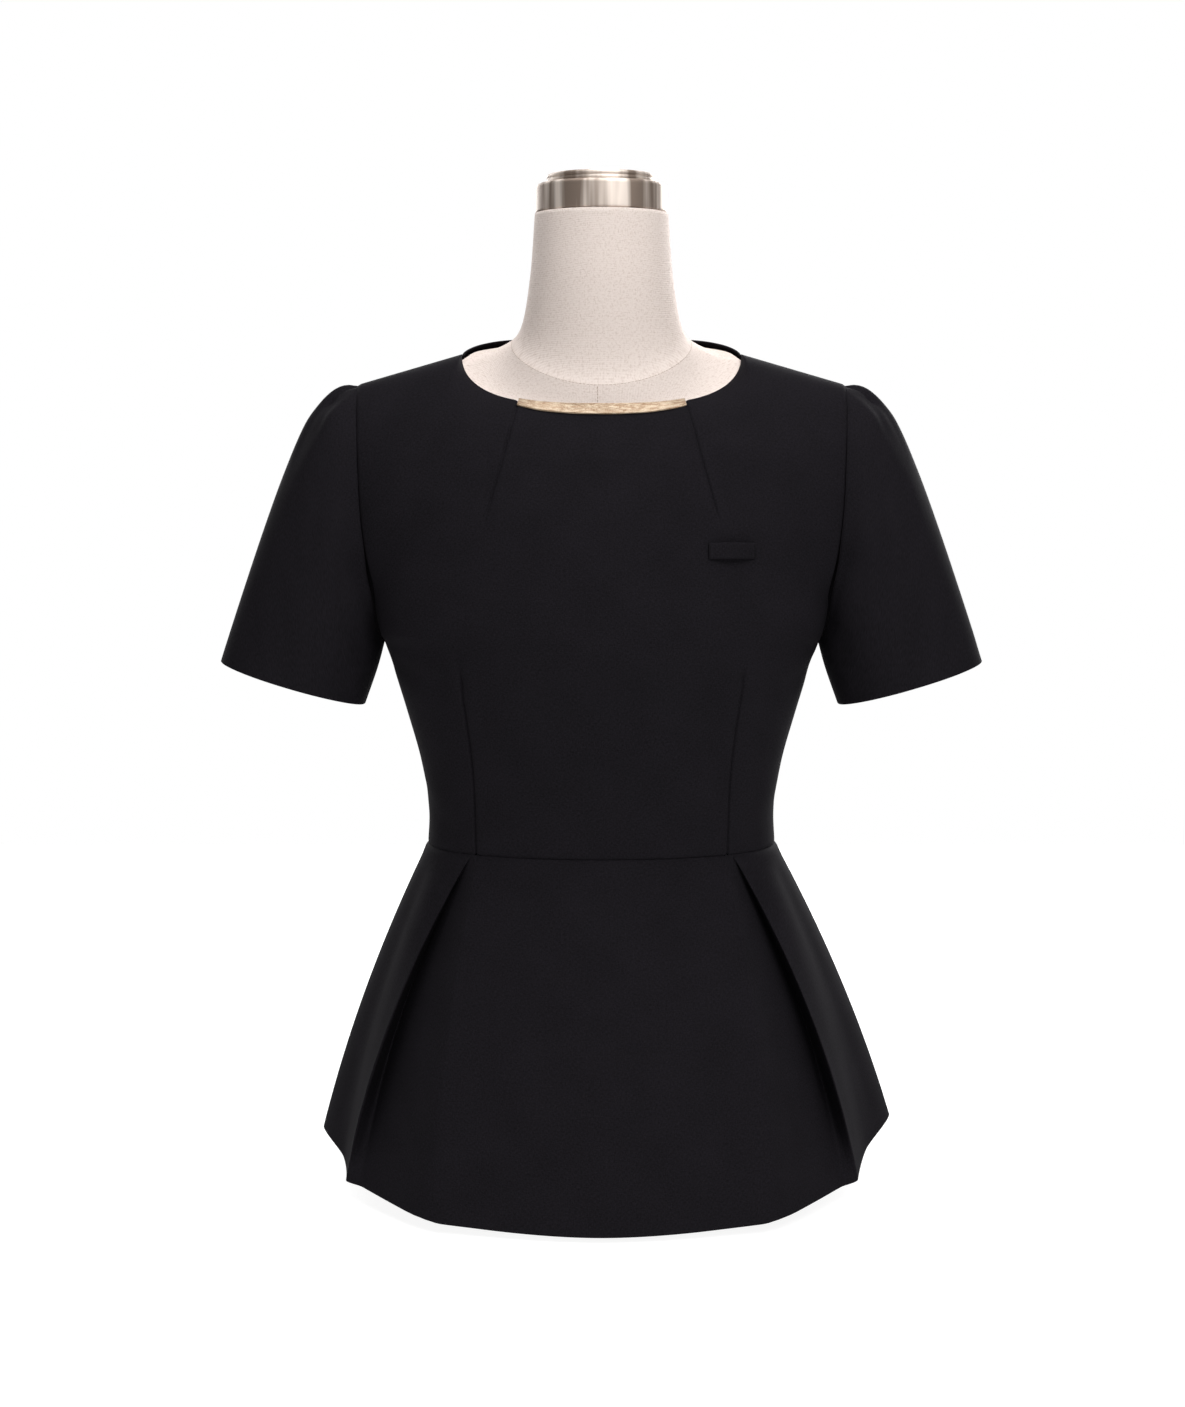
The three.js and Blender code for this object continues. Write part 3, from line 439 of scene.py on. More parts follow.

# Gold ribbon, woven of flat metallised film on a warm straw ground: its bright irregular glints and crinkled
# lighter patches are painted highlights in the colour, from noise that also raises the bump. Its slats are
# 0.4 mm wide, drawn 1 to 3 mm so that the glitter shows.
gold_weave, tree, shader = new_material("woven_gold_metallised_yarn")
lay = add_node(tree, "ShaderNodeTexCoord").outputs["UV"]
long_lay = add_node(tree, "ShaderNodeMapping", {"Vector": lay, "Scale": (190, 520, 1)})
crinkle_and_painted_highlights = add_node(
    tree, "ShaderNodeTexNoise",
    {"Vector": long_lay.outputs["Vector"], "Scale": 1, "Detail": 3, "Distortion": 0.8},
)
glint = add_node(tree, "ShaderNodeTexNoise", {"Vector": lay, "Scale": 1000, "Detail": 2, "Roughness": 0.7})
slats_and_painted_glints = add_node(
    tree, "ShaderNodeMath",
    {0: glint.outputs["Fac"], 1: 0.5, 2: crinkle_and_painted_highlights.outputs["Fac"]}, operation="MULTIPLY_ADD",
)
# Painted highlights: the glint and crinkle noise lightens the base colour towards pale gold, standing in for
# light caught on the film.
shade = add_node(tree, "ShaderNodeMapRange", {"Value": slats_and_painted_glints.outputs[0], "From Min": 0.6, "From Max": 0.92})
tint = add_node(
    tree, "ShaderNodeMix", {0: shade.outputs["Result"], 6: linear("#7f654b"), 7: linear("#ad9c86")},
    data_type="RGBA",
)
bump = add_node(tree, "ShaderNodeBump", {"Height": slats_and_painted_glints.outputs[0], "Strength": 0.45, "Distance": 0.0005})
tree.links.new(tint.outputs[2], shader.inputs["Base Color"])
tree.links.new(bump.outputs["Normal"], shader.inputs["Normal"])
shader.inputs["Metallic"].default_value = 0.45
shader.inputs["Roughness"].default_value = 0.42
dress(neck_trim, gold_weave, ["neck_trim"])

# Badge loop: a narrow bar of folded suiting on the chest, stitched down at both ends and standing a
# little off the cloth between them, for a badge clip.
LOOP_INNER, LOOP_OUTER, LOOP_BOTTOM, LOOP_TOP = 74.6, 106.8, 463.5, 474
LOOP_EASE, LOOP_THICKNESS, LOOP_STAND = 0.7, 1.6, 4.5
loop_share = np.unique(np.concatenate([np.linspace(0, 1, 41), [0.01, 0.03, 0.97, 0.99]]))
loop_heights = LOOP_BOTTOM + (LOOP_TOP - LOOP_BOTTOM) * np.array(
    [0, 0.03, 0.07, 0.12, 0.18, 0.3, 0.5, 0.7, 0.82, 0.88, 0.93, 0.97, 1]
)
columns, rows = np.meshgrid(loop_share, loop_heights)
loop_x = LOOP_INNER + (LOOP_OUTER - LOOP_INNER) * columns
_, widest, half_width, dart_angle = section_frame(rows)
angle = np.arcsin(loop_x / half_width * np.sin(widest))
past_dart = DART + (1 - DART) * (angle - dart_angle) / (widest - dart_angle)
loop_across = np.where(angle <= dart_angle, DART * angle / dart_angle, past_dart)
loop_up = (rows - WAIST) / (FAN - WAIST)
loop_points = bodice_point(-1, loop_across, loop_up)
loop_normals = grid_normals(loop_points, 1)
stand = LOOP_STAND * np.sin(np.pi * np.clip((columns - 0.05) / 0.9, 0, 1)) ** 1.2
from_rim = np.abs((rows - LOOP_BOTTOM) / (LOOP_TOP - LOOP_BOTTOM) - 0.5) * 2
fold_round = -0.35 * smoothstep(from_rim, 0.8, 1)
loop_rise = LOOP_EASE + LOOP_THICKNESS + stand + fold_round
loop_points = loop_points + loop_normals * loop_rise[..., None]
badge_loop = cloth_shell("badge_loop_bar", loop_points, 1, thickness=LOOP_THICKNESS)
dress(badge_loop, suiting, ["badge_loop"])


def ring_faces(rows, columns, start=0):
    place = start + np.arange(rows * columns).reshape(rows, columns)
    right = np.roll(place, -1, 1)
    return np.stack([place[:-1], right[:-1], right[1:], place[1:]], -1).reshape(-1, 4)


def sewn_line(name, path, stitch, gap, radius):
    """Stitches of thread that lie along a path: each a short round bar, thinner at its ends."""
    steps = np.linalg.norm(np.diff(path, axis=0), axis=-1)
    reach = np.concatenate([[0], np.cumsum(steps)])
    turn = np.linspace(0, 2 * np.pi, 6, endpoint=False)
    corners, faces = [], []
    for start in np.arange(gap / 2, reach[-1] - stitch, stitch + gap):
        places = start + stitch * np.array([0, 0.12, 0.5, 0.88, 1])
        spots = np.stack([np.interp(places, reach, path[:, k]) for k in range(3)], -1)
        along = unit(spots[-1] - spots[0])
        side = unit(np.cross(along, [0.31, 0.2, 0.93]))
        round_it = np.outer(np.cos(turn), side) + np.outer(np.sin(turn), np.cross(along, side))
        widths = radius * np.array([0.35, 0.9, 1, 0.9, 0.35])
        first = len(corners) * 6
        for spot, width in zip(spots, widths):
            corners.append(spot + round_it * width)
        faces += ring_faces(5, 6, first).tolist()
        faces += [[first + k for k in range(5, -1, -1)], [first + 24 + k for k in range(6)]]
    return make_mesh(name, np.concatenate(corners) * MM, np.array(faces, dtype=object))


# Polyester sewing thread, spun and dyed black: short bars of a low gloss, pulled into the cloth.
black_thread, tree, shader = new_material("spun_polyester_thread_black")
shader.inputs["Base Color"].default_value = linear("#0e0d0f")
shader.inputs["Roughness"].default_value = 0.8
shader.inputs["Specular IOR Level"].default_value = 0.1
for name, column in [("inner", 1), ("outer", -2)]:
    bar = loop_points[:, column] + loop_normals[:, column] * 0.1
    stitches = sewn_line(f"badge_loop_{name}_stitches", bar, 1.5, 0.5, 0.2)
    dress(stitches, black_thread)

# Sleeves: short and wide, each of one piece of suiting sewn into the armhole over a small pressed
# tuck at its head, closed by an underarm seam and turned up at the cuff.
SLEEVE_TOP = {
    "along": [0, 0.04, 0.075, 0.13, 0.22, 0.36, 0.54, 0.78, 1],
    "x": [178, 187, 195, 205, 216.5, 231, 246, 264, 280],
    "z": [588, 588, 585, 576, 559, 526, 486, 434, 386],
}
SLEEVE_UNDER = {"along": [0, 0.5, 1], "x": [160, 165.5, 174.5], "z": [401, 380, 354]}
SLEEVE_DEPTH = {"along": [0, 0.15, 0.5, 1], "depth": [56, 60, 58, 52], "middle": [4, 3, 0, -3]}


def sleeve_ring(hand, angle, along):
    top_x, top_z = (smooth_curve(SLEEVE_TOP["along"], SLEEVE_TOP[key], along) for key in "xz")
    under_x, under_z = (smooth_curve(SLEEVE_UNDER["along"], SLEEVE_UNDER[key], along) for key in "xz")
    depth, middle = (
        smooth_curve(SLEEVE_DEPTH["along"], SLEEVE_DEPTH[key], along) for key in ("depth", "middle")
    )
    x = (top_x + under_x) / 2 + (top_x - under_x) * np.cos(angle) / 2
    z = (top_z + under_z) / 2 + (top_z - under_z) * np.cos(angle) / 2
    return np.stack(np.broadcast_arrays(hand * x, middle - depth * np.sin(angle), z), -1)


def armhole_point(hand, angle):
    height = ARMHOLE_MIDDLE + ARMHOLE_HALF * np.cos(angle)
    edge = np.where(np.sin(angle) >= 0, armhole_edge(-1, height), armhole_edge(1, height))
    fan_part = (height - FAN) / (SHOULDER_TIP - FAN)
    base_width = smooth_curve(BODICE_HEIGHTS, BODICE_HALF_WIDTHS, height)
    x = np.where(fan_part > 0, base_width + (SHOULDER_HALF - base_width) * fan_part, base_width)
    return np.stack([hand * x, edge, height], -1)


def sleeve_point(hand, angle, along):
    angle, along = np.broadcast_arrays(np.asarray(angle, float), np.asarray(along, float))
    shift = armhole_point(hand, angle) - sleeve_ring(hand, angle, np.zeros_like(along))
    share = 1 - smoothstep(along, 0, 0.3)
    place = sleeve_ring(hand, angle, along) + shift * share[..., None]
    length = np.clip(along / 0.36, 0, 1)
    depth = 4 * np.sin(np.pi * length**0.6)
    centre = 12 + 20 * np.minimum(length * 2.5, 1)
    degrees = np.abs(np.degrees(angle))
    from_centre = (np.minimum(degrees, 360 - degrees) - centre) / 11
    middle = sleeve_ring(hand, np.pi / 2, along)
    middle[..., 1] = place[..., 1] * 0.2
    valley = depth * np.exp(-(from_centre**2))
    return place + unit(middle - place) * valley[..., None]


def sleeve_cloth(name, hand, creases):
    around = np.radians(np.linspace(0, 360, 150, endpoint=False))
    along = np.unique(np.concatenate([np.linspace(0, 1, 66), 2 * near_seam, 1 - near_seam]))
    columns, rows = np.meshgrid(around, along)
    surface = lambda a, b: sleeve_point(hand, np.radians(a), b)
    points = sleeve_point(hand, columns, rows)
    normals = grid_normals(points, hand, wraps=True)
    points = creased(points, normals, creases, surface)
    under_seam = -0.8 * np.exp(-(((np.degrees(columns) - 180) * 1.1 / 1.6) ** 2))
    points = points + normals * under_seam[..., None]
    points = seamed(points, normals, ["bottom"])
    panel = cloth_shell(f"{name}_cloth", points, hand, wraps=True)
    return dress(panel, suiting, [name])


# Each crease: from (degrees from the top round the front, along) to the same, half width, heights
left_sleeve_creases = [
    ((3, 0.0), (16, 0.10), 3.6, -2.0, -2.4),
    ((16, 0.10), (26, 0.33), 6.5, -2.2, 0),
    ((36, 0.02), (56, 0.30), 8, 0.9, 0.6),
    ((34, 0.10), (52, 0.62), 10, 1.6, 0.3),
    ((118, 0.02), (96, 0.50), 12, -2.4, -0.6),
    ((150, 0.05), (130, 0.85), 13, -1.8, -0.8),
    ((74, 0.30), (66, 0.95), 16, 0.9, 0.5),
    ((8, 0.22), (6, 0.95), 14, 0.7, 0.3),
    ((-60, 0.15), (-70, 0.80), 14, -1.8, -0.7),
    ((-120, 0.05), (-100, 0.60), 13, -2.0, -0.6),
]
right_sleeve_creases = [
    ((3, 0.0), (15, 0.09), 3.4, -1.8, -2.2),
    ((15, 0.09), (25, 0.30), 6, -2.0, 0),
    ((35, 0.02), (54, 0.27), 8, 0.8, 0.5),
    ((32, 0.12), (48, 0.55), 11, 1.4, 0.4),
    ((112, 0.02), (92, 0.58), 13, -2.1, -0.5),
    ((146, 0.04), (134, 0.80), 12, -2.0, -0.7),
    ((70, 0.36), (60, 0.97), 15, 0.7, 0.6),
    ((6, 0.20), (9, 0.90), 13, 0.6, 0.4),
    ((-56, 0.18), (-74, 0.85), 15, -1.6, -0.8),
    ((-126, 0.04), (-104, 0.55), 12, -2.2, -0.5),
]
sleeve_left = sleeve_cloth("sleeve_left", -1, left_sleeve_creases)
sleeve_right = sleeve_cloth("sleeve_right", 1, right_sleeve_creases)

# Peplum: a flared skirt of suiting sewn to the waist, one wide front with an opened box-pleat fold
# each side and two backs that meet at the centre back, all turned up in a deep plain hem.
STATIONS = {
    "across": [0, 0.45, 0.6, 0.85, 1, 1.35, 1.65, 2],
    "waist_angle": [0, 43.5, 46.8, 68, 90, 118, 145, 180],
    "hem_x": [0, 121, 184, 190, 210, 186, 112, 0],
    "hem_y": [-180, -157, -84, -38, 15, 98, 133, 166],
    "hem_z": [4.5, 8.5, 16, 22, 32, 24, 19, 15],
    "bow": [8, 10, 12, 8, 6.5, 8, 9, 8],
}
CORNERS = (1, 2)
SWING_X, SWING_Z = 8, 9
PEPLUM_LENGTH = 245
CREASE, VALLEY, FOLD = 0.45, 0.58, 0.6
POCKET_PLACES = [0, 0.03, 0.06, 0.1, 0.2, 0.3, 0.5, 0.7, 0.85, 1]
POCKET_DEPTHS = [0, 3, 7, 12, 21, 28, 35, 37, 28, 9]


def waist_point(degrees):
    angle = np.radians(degrees)
    depth = np.where(np.abs(degrees) <= 90, -BODICE_FRONTS[0], BODICE_BACKS[0])
    rise = np.abs(np.cos(angle)) ** 0.85
    x = BODICE_HALF_WIDTHS[0] * np.sin(angle)
    return np.stack([x, SIDE_SEAM_Y + (depth - SIDE_SEAM_Y) * rise, np.full_like(x, WAIST)], -1)


def read_stations(column, at):
    places, values = STATIONS["across"], STATIONS[column]
    last = len(places) - 1
    chord = lambda a, b: (values[b] - values[a]) / (places[b] - places[a])
    result = np.zeros_like(at)
    for i in range(last):
        here = (at >= places[i]) & (at <= places[i + 1])
        straight, span = chord(i, i + 1), places[i + 1] - places[i]
        at_centre = straight if column in ("hem_x", "waist_angle") else 0
        start = at_centre if i == 0 else chord(i - 1, i + 1)
        end = at_centre if i + 1 == last else chord(i, i + 2)
        if i in CORNERS and i + 1 in CORNERS:
            start = end = straight
        elif i in CORNERS:
            start = 1.5 * straight - 0.5 * end
        elif i + 1 in CORNERS:
            end = 1.5 * straight - 0.5 * start
        share = (at[here] - places[i]) / span
        result[here] = hermite(values[i], values[i + 1], start, end, span, share)
    return result


def flared_column(across, down):
    across, down = np.broadcast_arrays(np.asarray(across, float), np.asarray(down, float))
    share = np.abs(across)
    waist = waist_point(read_stations("waist_angle", share))
    swing = np.where(across > 0, np.clip(1 - np.abs(share - 1) / 0.4, 0, None), 0)
    hem_x = read_stations("hem_x", share) + SWING_X * swing
    hem_z = read_stations("hem_z", share) + SWING_Z * swing
    hem = np.stack([hem_x, read_stations("hem_y", share), hem_z], -1)
    outward = unit((hem - waist) * [1, 1, 0])
    place = waist + (hem - waist) * down[..., None]
    place += outward * (read_stations("bow", share) * 4 * down * (1 - down))[..., None]
    place[..., 0] *= np.where(across < 0, -1, 1)
    return place


def opened_column(across, down):
    """The pocket of the pleat recedes behind the fold edge, deepest right beside it."""
    place = flared_column(across, down)
    share = np.abs(across)
    shallow = np.clip((share - CREASE) / (VALLEY - CREASE), 0, 1) ** (1.3 + 0.2 * down)
    steep = np.clip((FOLD - share) / (FOLD - VALLEY), 0, 1)
    place[..., 1] += smooth_curve(POCKET_PLACES, POCKET_DEPTHS, down) * np.minimum(shallow, steep)
    return place


def peplum_point(across, down):
    """The flared cloth with its creases rounded: pressed sharp at the waist and softer lower down."""
    across, down = np.broadcast_arrays(np.asarray(across, float), np.asarray(down, float))
    share = np.abs(across)
    at_fold = np.exp(-(((share - FOLD) / 0.03) ** 2))
    at_crease = np.exp(-(((share - CREASE) / 0.06) ** 2))
    soft_hem = 0.018 * down**8
    blur = 0.001 + at_fold * (0.003 * down + 0.008 * down**4) + at_crease * (0.006 * down + soft_hem)
    blur = blur * np.clip((2 - share) / 0.05, 0, 1)
    weights = {-2: 0.1, -1: 0.25, 0: 0.3, 1: 0.25, 2: 0.1}
    return sum(weight * opened_column(across + step * blur, down) for step, weight in weights.items())


near_fold = np.array([0.0015, 0.003, 0.005, 0.008, 0.012])
pleat_across = np.concatenate([
    np.linspace(0, CREASE, 40), np.linspace(CREASE, FOLD, 56), np.linspace(FOLD, 1, 46),
    FOLD - near_fold, FOLD + near_fold, CREASE + near_fold, CREASE - near_fold, 1 - near_seam,
])
pleat_across = np.unique(pleat_across)
front_pleats = np.concatenate([-pleat_across[:0:-1], pleat_across])
peplum_down = np.unique(np.concatenate([np.linspace(0, 1, 74), near_seam, 1 - near_seam]))[::-1]


def peplum_panel(name, across, creases, edges):
    columns, rows = np.meshgrid(across, peplum_down)
    points = peplum_point(columns, rows)
    normals = grid_normals(points, 1)
    points = creased(points, normals, creases, peplum_point)
    waist_ridge = 0.5 * np.exp(-(((rows * PEPLUM_LENGTH - 5) / 4) ** 2))
    points = points + normals * waist_ridge[..., None]
    points = seamed(points, normals, edges)
    panel = cloth_shell(f"{name}_cloth", points, 1)
    return dress(panel, suiting, [name])


# Each crease: from (across, down) to (across, down), half width in millimetres, height at each end
peplum_front_creases = [
    ((-0.20, 0.12), (-0.17, 0.55), 15, -1.0, -0.5),
    ((0.15, 0.12), (0.19, 0.60), 14, -0.9, -0.4),
    ((0.01, 0.25), (-0.02, 0.98), 24, 0.9, 0.9),
    ((-0.32, 0.35), (-0.33, 0.98), 17, -0.8, -1.2),
    ((0.33, 0.38), (0.32, 0.98), 18, -0.7, -1.1),
    ((-0.74, 0.13), (-0.75, 0.95), 15, 1.0, 0.6),
    ((0.75, 0.13), (0.73, 0.95), 16, 1.0, 0.7),
    ((-0.88, 0.10), (-0.90, 0.90), 12, -1.0, -0.7),
    ((0.88, 0.10), (0.91, 0.90), 11, -0.9, -0.8),
]
peplum_seams = ["top", "left", "right"]
peplum_front = peplum_panel("peplum_front", front_pleats, peplum_front_creases, peplum_seams)
back_across = np.unique(np.concatenate([np.linspace(1, 2, 90), 1 + near_seam, 2 - near_seam]))
right_peplum_creases = [
    ((1.25, 0.10), (1.22, 0.95), 16, -2.2, -1.4),
    ((1.44, 0.05), (1.47, 0.97), 18, 1.8, 1.2),
    ((1.68, 0.08), (1.66, 0.95), 17, -2.0, -1.6),
    ((1.88, 0.10), (1.86, 0.97), 15, 1.1, 1.2),
]
left_peplum_creases = [
    ((-1.22, 0.08), (-1.25, 0.95), 15, -2.0, -1.5),
    ((-1.47, 0.06), (-1.43, 0.97), 19, 1.6, 1.3),
    ((-1.64, 0.10), (-1.69, 0.95), 16, -2.1, -1.4),
    ((-1.86, 0.08), (-1.89, 0.97), 16, 1.2, 1.0),
]
peplum_back_right = peplum_panel("peplum_back_right", back_across, right_peplum_creases, peplum_seams)
peplum_back_left = peplum_panel("peplum_back_left", -back_across[::-1], left_peplum_creases, peplum_seams)

# Dress form torso: a papier-mache body without limbs under stretched, closely woven linen, smooth
# and whole from the hips to the shoulder points. The top hangs clear of it, but for a touch inside the
# ends of the neck darts and at the tops of the armholes.
HIP_HEIGHTS = [0, 60, 120, 180, 225, 251]
HIP_HALF_WIDTHS = [160, 165, 157, 140, 126.5, 123.6]
HIP_FRONTS = [110, 113, 107, 97, 91, 90]
HIP_BACKS = [116, 122, 114, 96, 79, 75]
FORM_DEPTH = 2


def form_body_face(side, across, up):
    columns, rows = np.meshgrid(across, up)
    insets = []
    near_neck = np.clip(1 - np.abs(np.abs(columns) - NECK) / 0.12, 0, 1)
    ease = 3 + (0.6 + 2.2 * near_neck - 3) * smoothstep(rows, 1, 1.6)
    for face in (side, -side):
        step = 0.004
        around = bodice_point(face, np.minimum(columns + step, 1), rows, 0)
        around = around - bodice_point(face, np.maximum(columns - step, -1), rows, 0)
        lowest, highest = np.where(rows > 1, 1, 0), np.where(rows > 1, 2, 1)
        upward = bodice_point(face, columns, np.minimum(rows + step, highest), 0)
        upward = upward - bodice_point(face, columns, np.maximum(rows - step, lowest), 0)
        normals = unit(np.cross(around, upward)) * -face
        outer = bodice_point(face, columns, rows, 0)
        insets.append(outer - normals * (FORM_DEPTH + ease)[..., None])
    height = WAIST + (FAN - WAIST) * np.minimum(rows, 1)
    at_side = (np.abs(columns) == 1) & ((height <= UNDERARM) | (rows == 2))
    shared = at_side | ((rows == 2) & (np.abs(columns) >= NECK))
    place = np.where(shared[..., None], (insets[0] + insets[1]) / 2, insets[0])
    place[rows == 0, 2] = WAIST
    return place


def hip_face(side, waist_row):
    heights = np.linspace(0, WAIST, 34)[:-1]
    widen = smooth_curve(HIP_HEIGHTS, HIP_HALF_WIDTHS, heights) / HIP_HALF_WIDTHS[-1]
    depths = HIP_FRONTS if side < 0 else HIP_BACKS
    deepen = smooth_curve(HIP_HEIGHTS, depths, heights) / depths[-1]
    x = waist_row[None, :, 0] * widen[:, None]
    y = SIDE_SEAM_Y + (waist_row[None, :, 1] - SIDE_SEAM_Y) * deepen[:, None]
    return np.stack([x, y, np.broadcast_to(heights[:, None], x.shape)], -1)


form_half = np.unique(np.concatenate([np.linspace(0, NECK, 31), np.linspace(NECK, 1, 20)]))
form_across = np.concatenate([-form_half[:0:-1], form_half])
form_up = np.unique(np.concatenate([np.linspace(0, 1, 60), np.linspace(1, 2, 30)]))
faces_of_form = []
for side in (-1, 1):
    body = form_body_face(side, form_across, form_up)
    faces_of_form.append(np.concatenate([hip_face(side, body[0]), body]))
form_front, form_back = faces_of_form
plate_shares = np.linspace(0, 1, 9)[1:-1, None, None]
right_plate = form_front[None, :, -1] * (1 - plate_shares) + form_back[None, :, -1] * plate_shares
left_plate = form_back[None, :, 0] * (1 - plate_shares) + form_front[None, :, 0] * plate_shares
rings = np.concatenate(
    [form_front, right_plate.swapaxes(0, 1), form_back[:, ::-1], left_plate.swapaxes(0, 1)], 1
)

# The neck rises from the yoke in one sweep: rings of the neck, then rings over the yoke out to the
# row of points under the neckline, so that the body, yoke and neck are one skin.
NECK_RISES = [0, 0.05, 0.1, 0.16, 0.24, 0.36, 0.6, 1]
NECK_RADII = [66, 62.3, 59.8, 57.8, 56, 54.1, 51.3, 48.6]
NECK_TOP, NECK_SEAM_FRONT, NECK_SEAM_BACK, NECK_SEAM_ARCH = 711, 585, 632, 8
inside = np.abs(form_across) <= NECK + 1e-9
front_rim, back_rim = form_front[-1][inside], form_back[-1][inside]
rim = np.concatenate([front_rim, back_rim[-2:0:-1]])
ray = np.arctan2((rim[:, 1] + 3) / 0.88, rim[:, 0])


def neck_ring(rise, radius):
    seam = (NECK_SEAM_FRONT + NECK_SEAM_BACK) / 2
    seam = seam + (NECK_SEAM_BACK - NECK_SEAM_FRONT) / 2 * np.sin(ray)
    seam = seam + NECK_SEAM_ARCH * np.cos(ray) ** 2
    shorten = 0.84 + 0.16 * smoothstep(rise, 0, 0.7)
    x, y = radius * np.cos(ray), radius * shorten * np.sin(ray) - 3 * (1 - rise)
    return np.stack([x, y, seam + (NECK_TOP - seam) * rise], -1)


neck_rings = []
for rise in np.linspace(1, 0, 60) ** 1.4:
    neck_rings.append(neck_ring(rise, smooth_curve(NECK_RISES, NECK_RADII, rise)))
seam_ring = neck_rings[-1]
yoke_rings = []
for share in np.unique(np.concatenate([np.linspace(0, 1, 26)[1:-1], [0.015, 0.03, 0.05]])):
    flat = seam_ring + (rim - seam_ring) * share
    flat[:, 2] = rim[:, 2] + (seam_ring[:, 2] - rim[:, 2]) * (1 - share) ** 2.2
    yoke_rings.append(flat)
skin = np.stack([*neck_rings, *yoke_rings, rim])
body_rows, body_columns = rings.shape[:2]
skin_rows, skin_columns = skin.shape[:2]
base_centre, top_centre = rings[0].mean(0), skin[0].mean(0)
corners = np.concatenate([rings.reshape(-1, 3), skin.reshape(-1, 3), [base_centre, top_centre]]) * MM
start = body_rows * body_columns
base = np.arange(body_columns)
top = start + np.arange(skin_columns)
faces = [
    *ring_faces(body_rows, body_columns).tolist(),
    *ring_faces(skin_rows, skin_columns, start)[:, ::-1].tolist(),
    *[[len(corners) - 2, b, a] for a, b in zip(base, np.roll(base, -1))],
    *[[len(corners) - 1, a, b] for a, b in zip(top, np.roll(top, -1))],
]
mesh = bpy.data.meshes.new("form_torso_skin")
mesh.from_pydata(corners.tolist(), [], faces)
weft = np.concatenate([
    np.tile(np.linspace(-0.42, 0.42, body_columns), body_rows),
    np.tile(np.arctan2(rim[:, 0], -rim[:, 1]) * 0.06, skin_rows), [0, 0],
])
warp = corners[:, 2].copy()
out_on_yoke = np.linalg.norm(skin[..., :2] - seam_ring[None, :, :2], axis=-1) * MM
warp[start : start + skin_rows * skin_columns] -= out_on_yoke.ravel()
lay_cloth(mesh, np.stack([weft, warp], -1))
mesh.validate()
torso = put_in_scene("form_torso_skin", mesh)
joined = bmesh.new()
joined.from_mesh(mesh)
bmesh.ops.remove_doubles(joined, verts=joined.verts, dist=0.0001)
bmesh.ops.recalc_face_normals(joined, faces=joined.faces)
joined.to_mesh(mesh)
joined.free()
smooth_shaded(mesh)

# Undyed linen cloth, plain woven with slubbed yarn: matt, pale sand with darker flecks. The yarns are
# 0.5 mm apart, drawn 1.1 mm apart so that the weave can be seen.
linen, tree, shader = new_material("undyed_slub_linen")
lay = add_node(tree, "ShaderNodeTexCoord").outputs["UV"]
warp_yarn = add_node(
    tree, "ShaderNodeTexWave",
    {"Vector": lay, "Scale": 0.314 / 0.0011, "Distortion": 1.5, "Detail": 1}, bands_direction="X",
)
weft_yarn = add_node(
    tree, "ShaderNodeTexWave",
    {"Vector": lay, "Scale": 0.314 / 0.0012, "Distortion": 1.5, "Detail": 1}, bands_direction="Y",
)
weave = add_node(
    tree, "ShaderNodeMath", {0: warp_yarn.outputs["Fac"], 1: weft_yarn.outputs["Fac"]}, operation="ADD"
)
stretch = add_node(tree, "ShaderNodeMapping", {"Vector": lay, "Scale": (380, 900, 1)})
fleck = add_node(tree, "ShaderNodeTexNoise", {"Vector": stretch.outputs["Vector"], "Scale": 1, "Detail": 3})
stretch_up = add_node(tree, "ShaderNodeMapping", {"Vector": lay, "Scale": (1000, 420, 1)})
fleck_up = add_node(
    tree, "ShaderNodeTexNoise",
    {"Vector": stretch_up.outputs["Vector"], "Scale": 1, "Detail": 3},
)
flecks = add_node(
    tree, "ShaderNodeMath", {0: fleck.outputs["Fac"], 1: fleck_up.outputs["Fac"]}, operation="MINIMUM"
)
shade = add_node(
    tree, "ShaderNodeMapRange", {"Value": flecks.outputs[0], "From Min": 0.27, "From Max": 0.47}
)
tint = add_node(
    tree, "ShaderNodeMix", {0: shade.outputs["Result"], 6: linear("#bfafa6"), 7: linear("#d4c8c1")},
    data_type="RGBA",
)
bump = add_node(tree, "ShaderNodeBump", {"Height": weave.outputs[0], "Strength": 0.3, "Distance": 0.0003})
tree.links.new(tint.outputs[2], shader.inputs["Base Color"])
tree.links.new(bump.outputs["Normal"], shader.inputs["Normal"])
shader.inputs["Roughness"].default_value = 0.92
shader.inputs["Specular IOR Level"].default_value = 0.2
dress(torso, linen, ["form_torso"])

# Cotton sewing thread, mercerised, a shade darker than the linen: a fine line of low, soft gloss.
thread, tree, shader = new_material("mercerised_cotton_thread_sand")
shader.inputs["Base Color"].default_value = linear("#a89688")
shader.inputs["Roughness"].default_value = 0.6
neck_seam = np.concatenate([neck_rings[-2], neck_rings[-2][:1]])
neck_line = sewn_line("form_neck_seam_stitches", neck_seam, 2.2, 0.5, 0.22)
dress(neck_line, thread)
FRONT_SEAM_SHIFT = [-3, -0.15, 0]
front_column = skin[len(neck_rings) - 1 :, np.argmin(rim[:, 1])] + FRONT_SEAM_SHIFT
front_line = sewn_line("form_front_seam_stitches", front_column, 1.6, 0.9, 0.3)
dress(front_line, thread)

# Neck cap: a spun band and a smaller lipped disc of satin-finished stainless steel, pressed together
# and screwed down on the neck from inside.
CAP_SIDES = 144


